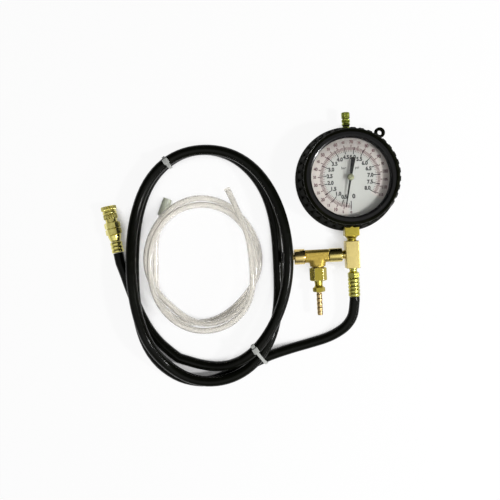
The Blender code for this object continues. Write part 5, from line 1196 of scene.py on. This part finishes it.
class GAUGE_OT_union(Step):
    """Turn the union collar between the block and the forged tee."""
    bl_idname = "gauge.union"
    bl_label = "Union"

    def execute(self, context):
        collar = [(2.4, 4.5), (3.9, 4.5), (4.2, 4.9), (4.2, 9.0), (3.8, 9.4), (3.8, 9.9), (5.2, 10.1),
                  (6.2, 10.2), (6.6, 10.5), (6.7, 11.0), (6.7, 22.2), (6.6, 22.7), (6.3, 23.0),
                  (2.4, 23.0)]
        turned("union_skin", collar, BRANCH, "turned_x", "base", "union_collar", angle=35.0)
        return {"FINISHED"}


class GAUGE_OT_forged_tee(Step):
    """Forge the tee from its run, shoulders and branch, with soft corners, then add its collar."""
    bl_idname = "gauge.forged_tee"
    bl_label = "Forged tee"

    def execute(self, context):
        run = placed(lathe([(0.0, 23.3), (6.3, 23.3), (6.3, 46.4), (0.0, 46.4)], 64), BRANCH)
        branch = placed(lathe([(0.0, 70.0), (8.8, 75.0), (8.2, 80.0), (7.7, 82.5), (7.6, 84.3),
                               (0.0, 84.3)], 64), DROP)
        for part, share in ((run, 1.0), (branch, BRANCH_FLATNESS)):
            for vert in part.verts:
                rise = (vert.co.z - STEM_HEIGHT) * share
                vert.co.z = STEM_HEIGHT + max(-FORGING_HALF, min(FORGING_HALF, rise))
        body = applied(to_mesh(together(run, branch)),
                       ("REMESH", {"mode": "VOXEL", "voxel_size": FORGING_GRID}),
                       ("SMOOTH", {"factor": 0.6, "iterations": 8}))
        collar = lathe([(3.0, 83.4), (6.0, 83.4), (6.0, 85.0), (3.0, 85.0)], 96, closed=True)
        shape = together(to_shape(body), placed(collar, DROP))
        show("tee_forging", shape, "forged", "base", "forged_tee", angle=42.0)
        return {"FINISHED"}


class GAUGE_OT_relief_valve(Step):
    """Turn the relief valve's body and its black push button, and wind the button's spring."""
    bl_idname = "gauge.relief_valve"
    bl_label = "Relief valve"

    def execute(self, context):
        body = [(1.4, 55.2), (1.4, 62.0), (2.6, 62.0), (2.8, 61.8), (2.8, 57.2), (5.6, 57.0),
                (6.8, 57.0), (7.3, 56.7), (7.5, 56.2), (7.5, 47.2), (7.35, 46.8), (7.0, 46.7),
                (2.6, 46.7), (2.6, 55.2)]
        turned("valve_skin", body, BRANCH, "valve_brass", "base", "relief_valve_body", angle=35.0)
        cap = [(0.0, 68.9), (2.6, 68.95), (3.9, 69.15), (4.5, 69.4), (5.0, 69.2), (5.3, 68.8), (5.4, 68.2)]
        cap += rings(5.4, 61.0, 67.8, 0.8)[::-1]
        cap += [(5.3, 60.5), (5.1, 60.4), (4.3, 60.4), (4.3, 67.7), (0.0, 67.7)]
        button = knurled(lathe(cap, 144), 36, 0.16, 60.9, 67.9)
        show("button_skin", placed(button, BRANCH), "button_plastic", "button", "relief_button",
             angle=40.0)
        low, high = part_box("button_spring")
        reach = (high[1] - low[1]) / 2 - SPRING_WIRE
        start, end = high[0] - SPRING_WIRE, low[0] + SPRING_WIRE
        steps = SPRING_TURNS * SPRING_POINTS
        points = [Vector((start + (end - start) * i / steps,
                          BRANCH_Y + reach * math.cos(FULL_TURN * i / SPRING_POINTS),
                          STEM_HEIGHT + reach * math.sin(FULL_TURN * i / SPRING_POINTS)))
                  for i in range(steps + 1)]
        spring = show("spring_coil", tube(points, SPRING_WIRE, 10), "plain_steel", "base",
                      "button_spring", angle=50.0)
        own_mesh(spring)
        return {"FINISHED"}


class GAUGE_OT_drain_branch(Step):
    """Model the hexagon nut and the hose barb on the branch."""
    bl_idname = "gauge.drain_branch"
    bl_label = "Nut and barb"

    def execute(self, context):
        nut = [(4.5, 85.3)] + hex_band(8.4, 85.3, 98.4) + [(4.5, 98.4)]
        nut = hex_turned(nut, 8.4, 85.3, 98.4)
        # The bevels take paler brass, partly edge wear and partly a painted highlight
        show("nut_skin", placed(nut, DROP), "olive_hex", "base", "branch_nut", soft=0.95, angle=40.0,
             edge_material="worn_edge_and_painted_highlight", flats=True)
        neck = [(1.4, 85.6), (4.15, 85.6), (4.15, 99.0), (3.9, 100.6), (3.7, 102.2), (4.0, 103.6),
                (4.7, 104.4)] + hex_band(6.0, 104.7, 109.2) + [(3.0, 109.3), (1.4, 109.3)]
        neck = hex_turned(neck, 6.0, 104.7, 109.2)
        show("neck_skin", placed(neck, DROP), "olive_hex", "base", angle=26.0, flats=True,
             slot="pale_brass")
        barb = [(1.4, 109.3), (2.7, 109.3), (2.5, 110.0)]
        start, end, ridges = 110.4, 132.0, 5
        pitch = (end - start) / ridges
        for i in range(ridges):
            foot = start + pitch * i
            taper = 0.5 if i == ridges - 1 else 0.0
            barb += [(2.5, foot), (2.53, foot + pitch * 0.1), (2.8 - taper * 0.2, foot + pitch * 0.26),
                     (2.83 - taper * 0.3, foot + pitch * 0.40), (2.58 - taper * 0.4, foot + pitch * 0.95)]
        barb += [(1.9, end), (1.4, end)]
        turned("barb_skin", barb, DROP, "red_turned_y", "base", "hose_barb", steps=64, angle=26.0)
        return {"FINISHED"}


class GAUGE_OT_hose_fittings(Step):
    """Turn the nipple under the block and the crimped ferrule on the hose."""
    bl_idname = "gauge.hose_fittings"
    bl_label = "Nipple and ferrule"

    def execute(self, context):
        nipple = [(2.0, 82.8), (3.8, 82.8), (4.1, 83.2), (4.1, 88.8), (3.6, 89.4), (3.6, 90.8),
                  (4.3, 91.6), (4.9, 92.0)]
        nipple += hex_band(6.1, 92.2, 97.1) + [(4.4, 97.2), (2.0, 97.2)]
        nipple = hex_turned(nipple, 6.1, 92.2, 97.1, math.radians(30.0))
        show("nipple_skin", placed(nipple, STEM), "green_ferrule", "base", "hose_nipple", angle=26.0,
             flats=True)
        ferrule = [(4.4, 97.4)] + ribbed_band(5.65, 0.75, 97.4, 115.4, 5)
        ferrule += [(5.05, 115.6), (4.4, 115.6)]
        turned("ferrule_skin", ferrule, STEM, "green_ferrule", "base", "gauge_ferrule", angle=40.0)
        return {"FINISHED"}


class GAUGE_OT_coupler(Step):
    """Turn the coupler's ferrule, insert, swivelling barrel and fluted sleeve."""
    bl_idname = "gauge.coupler"
    bl_label = "Coupler"

    def execute(self, context):
        ferrule = [(3.2, 0.0)] + ribbed_band(5.9, 0.7, 0.0, 10.8, 3) + [(5.3, 11.0), (3.2, 11.0)]
        turned("coupler_crimp", ferrule, COUPLER, "coupler_brass", "base", "coupler_ferrule",
               angle=40.0)
        insert = [(1.4, 11.3), (4.3, 11.3), (4.7, 11.6), (4.7, 12.1), (5.3, 12.4), (5.5, 13.0),
                  (6.3, 16.6), (6.3, 17.4), (5.9, 17.8)]
        insert += hex_band(7.9, 18.0, 24.0) + [(3.2, 24.0), (3.2, 28.5), (1.4, 28.5)]
        insert = hex_turned(insert, 7.9, 18.0, 24.0)
        show("insert_skin", placed(insert, COUPLER), "coupler_brass", "base", "hose_insert", angle=24.0,
             flats=True)
        barrel = [(2.0, 33.7), (4.5, 33.7), (4.5, 45.8), (4.8, 46.3), (5.4, 46.3), (5.6, 46.1),
                  (5.6, 30.6), (6.4, 30.45)]
        barrel += hex_band(7.9, 24.3, 30.3)[::-1] + [(3.55, 24.3), (3.55, 28.8), (2.0, 28.8)]
        barrel = hex_turned(barrel, 7.9, 24.3, 30.3)
        show("barrel_skin", placed(barrel, COUPLER), "coupler_brass", "coupler", "coupler_barrel",
             angle=24.0, flats=True)
        sleeve = [(5.95, 46.6), (6.9, 46.6), (7.35, 46.35), (7.6, 45.9)]
        sleeve += rings(7.6, 42.9, 45.8, 0.7)[::-1]
        sleeve += [(7.3, 42.4), (6.6, 42.2), (6.3, 41.8), (6.3, 41.2), (6.75, 40.9), (7.0, 40.4),
                   (7.0, 39.6), (6.75, 39.2), (6.4, 38.9), (6.4, 38.5), (6.8, 38.2)]
        sleeve += rings(6.9, 34.6, 38.0, 0.7)[::-1] + [(6.7, 33.9), (6.4, 33.7), (5.95, 33.7)]
        sleeve = lathe(sleeve, 144, closed=True)
        sleeve = knurled(sleeve, 16, 0.55, 42.3, 46.2)
        sleeve = knurled(sleeve, 16, 0.50, 34.2, 38.3)
        show("sleeve_skin", placed(sleeve, COUPLER), "coupler_brass", "sleeve", "coupler_sleeve",
             angle=34.0)
        return {"FINISHED"}


class GAUGE_OT_cable_ties(Step):
    """Strap the wound hose with two nylon cable ties."""
    bl_idname = "gauge.cable_ties"
    bl_label = "Cable ties"

    def execute(self, context):
        strands = hose_route()
        for name, node, turn, slant in TIES:
            top = coil_point(turn)
            along = coil_point(turn + 0.002) - top
            along.z = 0.0
            along.normalize()
            along.rotate(Matrix.Rotation(slant, 3, "Z"))
            across = Vector((along.y, -along.x, 0.0))
            reach = TIE_WIDTH / 2 + HOSE_RADIUS * TIE_SLANT_SHARE
            near = [((point - top).dot(across), point.z) for point in strands
                    if abs((point - top).dot(along)) < reach and (point - top).length < TIE_SEARCH]
            inner = HOSE_RADIUS + FACE_GAP * 0.5
            strap = bmesh.new()
            walls = []
            for radius in (inner, inner + TIE_THICKNESS):
                points = [point for centre in near for point in circle(centre, radius, 40)]
                verts = [strap.verts.new((x, z, -TIE_WIDTH / 2)) for x, z in flat_hull(points)]
                walls.append([strap.edges.new((verts[k - 1], verts[k])) for k in range(len(verts))])
            bmesh.ops.bridge_loops(strap, edges=walls[0] + walls[1])
            thickened(strap, TIE_WIDTH)
            placed(strap, Matrix(((across.x, 0.0, along.x, top.x), (across.y, 0.0, along.y, top.y),
                                  (0.0, 1.0, 0.0, 0.0), (0.0, 0.0, 0.0, 1.0))))
            crest = max(vert.co.z for vert in strap.verts) / MM
            head = prism((-2.7, -2.8, crest - 0.6), (2.7, 2.8, crest + 2.2), 0.5)
            end = prism((2.4, -1.9, crest + 0.1), (6.4, 1.9, crest + 1.1), 0.3)
            turn_to = Matrix.Rotation(math.atan2(across.y, across.x), 4, "Z")
            head = placed(together(head, end), Matrix.Translation((top.x, top.y, 0.0)) @ turn_to)
            show(name, together(strap, head), "tie_nylon", "base", node, angle=30.0)
        return {"FINISHED"}


class GAUGE_OT_hose_facts(Step):
    bl_idname = "gauge.hose_facts"
    bl_label = "Hose facts"

    def execute(self, context):
        route = hose_route()
        on_it = ["coupler_crimp", "insert_skin", "barrel_skin", "sleeve_skin", "upper_strap",
                 "lower_strap"]
        on_it += [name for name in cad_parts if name.startswith(("locking_ball", "coupler_seal"))]
        return {"FINISHED"}


class GAUGE_OT_inner_parts(Step):
    """Give the case, the movement, the seals, the vent bush and the locking balls their finishes."""
    bl_idname = "gauge.inner_parts"
    bl_label = "Inner parts"

    def execute(self, context):
        finishes = {
            "case_enamel": ("case_shell",),
            "plain_steel": ("case_screw", "movement_screw", "pointer_shaft", "hairspring",
                            "relief_poppet", "locking_ball"),
            "seal_black": ("lens_gasket", "vent_seal", "relief_seal", "coupler_seal"),
            "plate_brass": ("movement_back_plate", "movement_front_plate", "movement_pillar",
                            "movement_link", "sector_gear", "tube_end"),
            "green_cap": ("vent_bush",),
            "red_turned_y": ("bourdon_tube",),
        }
        for material, starts in finishes.items():
            for name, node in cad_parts.items():
                if name.startswith(starts):
                    node.data.materials[0] = finish(material)
        return {"FINISHED"}


class GAUGE_OT_stage(Step):
    """Lay the pale floor and set the two lamps and the surroundings."""
    bl_idname = "gauge.stage"
    bl_label = "Stage"

    def execute(self, context):
        settings = context.scene.gauge_stage
        shape = bmesh.new()
        bmesh.ops.create_grid(shape, x_segments=1, y_segments=1, size=FLOOR_SIZE)
        bmesh.ops.translate(shape, vec=(0.0, 0.0, -FLOOR_DROP), verts=shape.verts)
        mesh = bpy.data.meshes.new("floor")
        shape.to_mesh(mesh)
        shape.free()
        mesh.materials.append(self.floor_material(settings))
        floor = bpy.data.objects.new("floor", mesh)
        context.scene.collection.objects.link(floor)
        self.add_lamp(context, "key", settings.key_power, *KEY_LAMP)
        self.add_lamp(context, "side", settings.side_power, *SIDE_LAMP)
        self.set_surroundings(context, settings)
        context.scene.view_settings.view_transform = "Standard"
        return {"FINISHED"}

    def floor_material(self, settings):
        """White where it is seen or mirrored, and still darker in shadows and narrow gaps."""
        made, tree, shader, place = blank("floor")
        paper = sort(tree, noise(tree, place, 900.0, 2.0), 0.4, 0.6)
        white = settings.floor_colour
        colour = blend_colour(tree, paper, opaque(white), opaque(times(white, 0.99)))
        feed(tree, shader.inputs, {"Base Color": colour, "Roughness": 0.9, "Specular IOR Level": 0.0})
        glow = add(tree, "ShaderNodeEmission", {"Color": (1.0, 1.0, 1.0, 1.0), "Strength": 1.0})
        rays = tree.nodes.new("ShaderNodeLightPath").outputs
        seen = calc(tree, "MAXIMUM", rays["Is Camera Ray"], rays["Is Glossy Ray"])
        seen = calc(tree, "MAXIMUM", seen, rays["Is Transmission Ray"])
        open_sky = add(tree, "ShaderNodeAmbientOcclusion", {"Distance": GAP_REACH}, samples=12)
        outside = sort(tree, open_sky.outputs["AO"], *GAP_EDGE, *GAP_GLOW)
        mixed_in(tree, calc(tree, "MULTIPLY", seen, outside), shader, glow)
        return made

    def add_lamp(self, context, name, power, size, place):
        """A flat lamp that looks at the object from a place."""
        data = bpy.data.lights.new(name, "AREA")
        data.shape = "RECTANGLE"
        data.size, data.size_y = size
        data.energy = power
        lamp = bpy.data.objects.new(name, data)
        lamp.location = Vector(place)
        aim = Vector(LAMP_TARGET) - lamp.location
        lamp.rotation_euler = aim.to_track_quat("-Z", "Y").to_euler()
        context.scene.collection.objects.link(lamp)

    def set_surroundings(self, context, settings):
        """A pale studio that is dark beyond the picture's top, as the brass shows it."""
        world = bpy.data.worlds.new("studio")
        context.scene.world = world
        world.use_nodes = True
        tree = world.node_tree
        tree.nodes.clear()
        way = tree.nodes.new("ShaderNodeTexCoord").outputs["Generated"]
        parts = add(tree, "ShaderNodeSeparateXYZ", {"Vector": way}).outputs
        level = settings.surround
        for axis, start, end, share in STUDIO_SHADES:
            level = calc(tree, "MULTIPLY", sort(tree, parts[axis], start, end, 1.0, share), level)
        seen = tree.nodes.new("ShaderNodeLightPath").outputs["Is Camera Ray"]
        level = calc(tree, "MAXIMUM", level, seen)
        light = add(tree, "ShaderNodeBackground", {"Color": (1.0, 1.0, 1.0, 1.0), "Strength": level})
        out = tree.nodes.new("ShaderNodeOutputWorld")
        tree.links.new(light.outputs[0], out.inputs["Surface"])


OPERATORS = (
    GAUGE_OT_camera, GAUGE_OT_test_hose, GAUGE_OT_drain_tube, GAUGE_OT_boot, GAUGE_OT_bezel,
    GAUGE_OT_dial, GAUGE_OT_pointer, GAUGE_OT_vent_cap, GAUGE_OT_stem, GAUGE_OT_tee_block,
    GAUGE_OT_union, GAUGE_OT_forged_tee, GAUGE_OT_relief_valve, GAUGE_OT_drain_branch,
    GAUGE_OT_hose_fittings, GAUGE_OT_coupler, GAUGE_OT_cable_ties, GAUGE_OT_hose_facts,
    GAUGE_OT_inner_parts, GAUGE_OT_stage,
)


class GAUGE_PT_sidebar(bpy.types.Panel):
    """Lists the gauge's pieces and their settings."""
    bl_idname = "GAUGE_PT_sidebar"
    bl_label = "Fuel pressure gauge"
    bl_space_type = "VIEW_3D"
    bl_region_type = "UI"
    bl_category = "Gauge"

    def draw(self, context):
        for name, settings in SETTINGS.items():
            box = self.layout.box()
            for field in settings.__annotations__:
                box.prop(getattr(context.scene, name), field)
        for operator in OPERATORS:
            self.layout.operator(operator.bl_idname)


def register():
    for settings in SETTINGS.values():
        bpy.utils.register_class(settings)
    for name, settings in SETTINGS.items():
        setattr(bpy.types.Scene, name, PointerProperty(type=settings))
    for operator in OPERATORS:
        bpy.utils.register_class(operator)
    bpy.utils.register_class(GAUGE_PT_sidebar)


def unregister():
    bpy.utils.unregister_class(GAUGE_PT_sidebar)
    for operator in reversed(OPERATORS):
        bpy.utils.unregister_class(operator)
    for name, settings in SETTINGS.items():
        delattr(bpy.types.Scene, name)
        bpy.utils.unregister_class(settings)


def main():
    register()
    for operator in OPERATORS:
        group, action = operator.bl_idname.split(".")
        getattr(getattr(bpy.ops, group), action)()


if __name__ == "__main__":
    main()
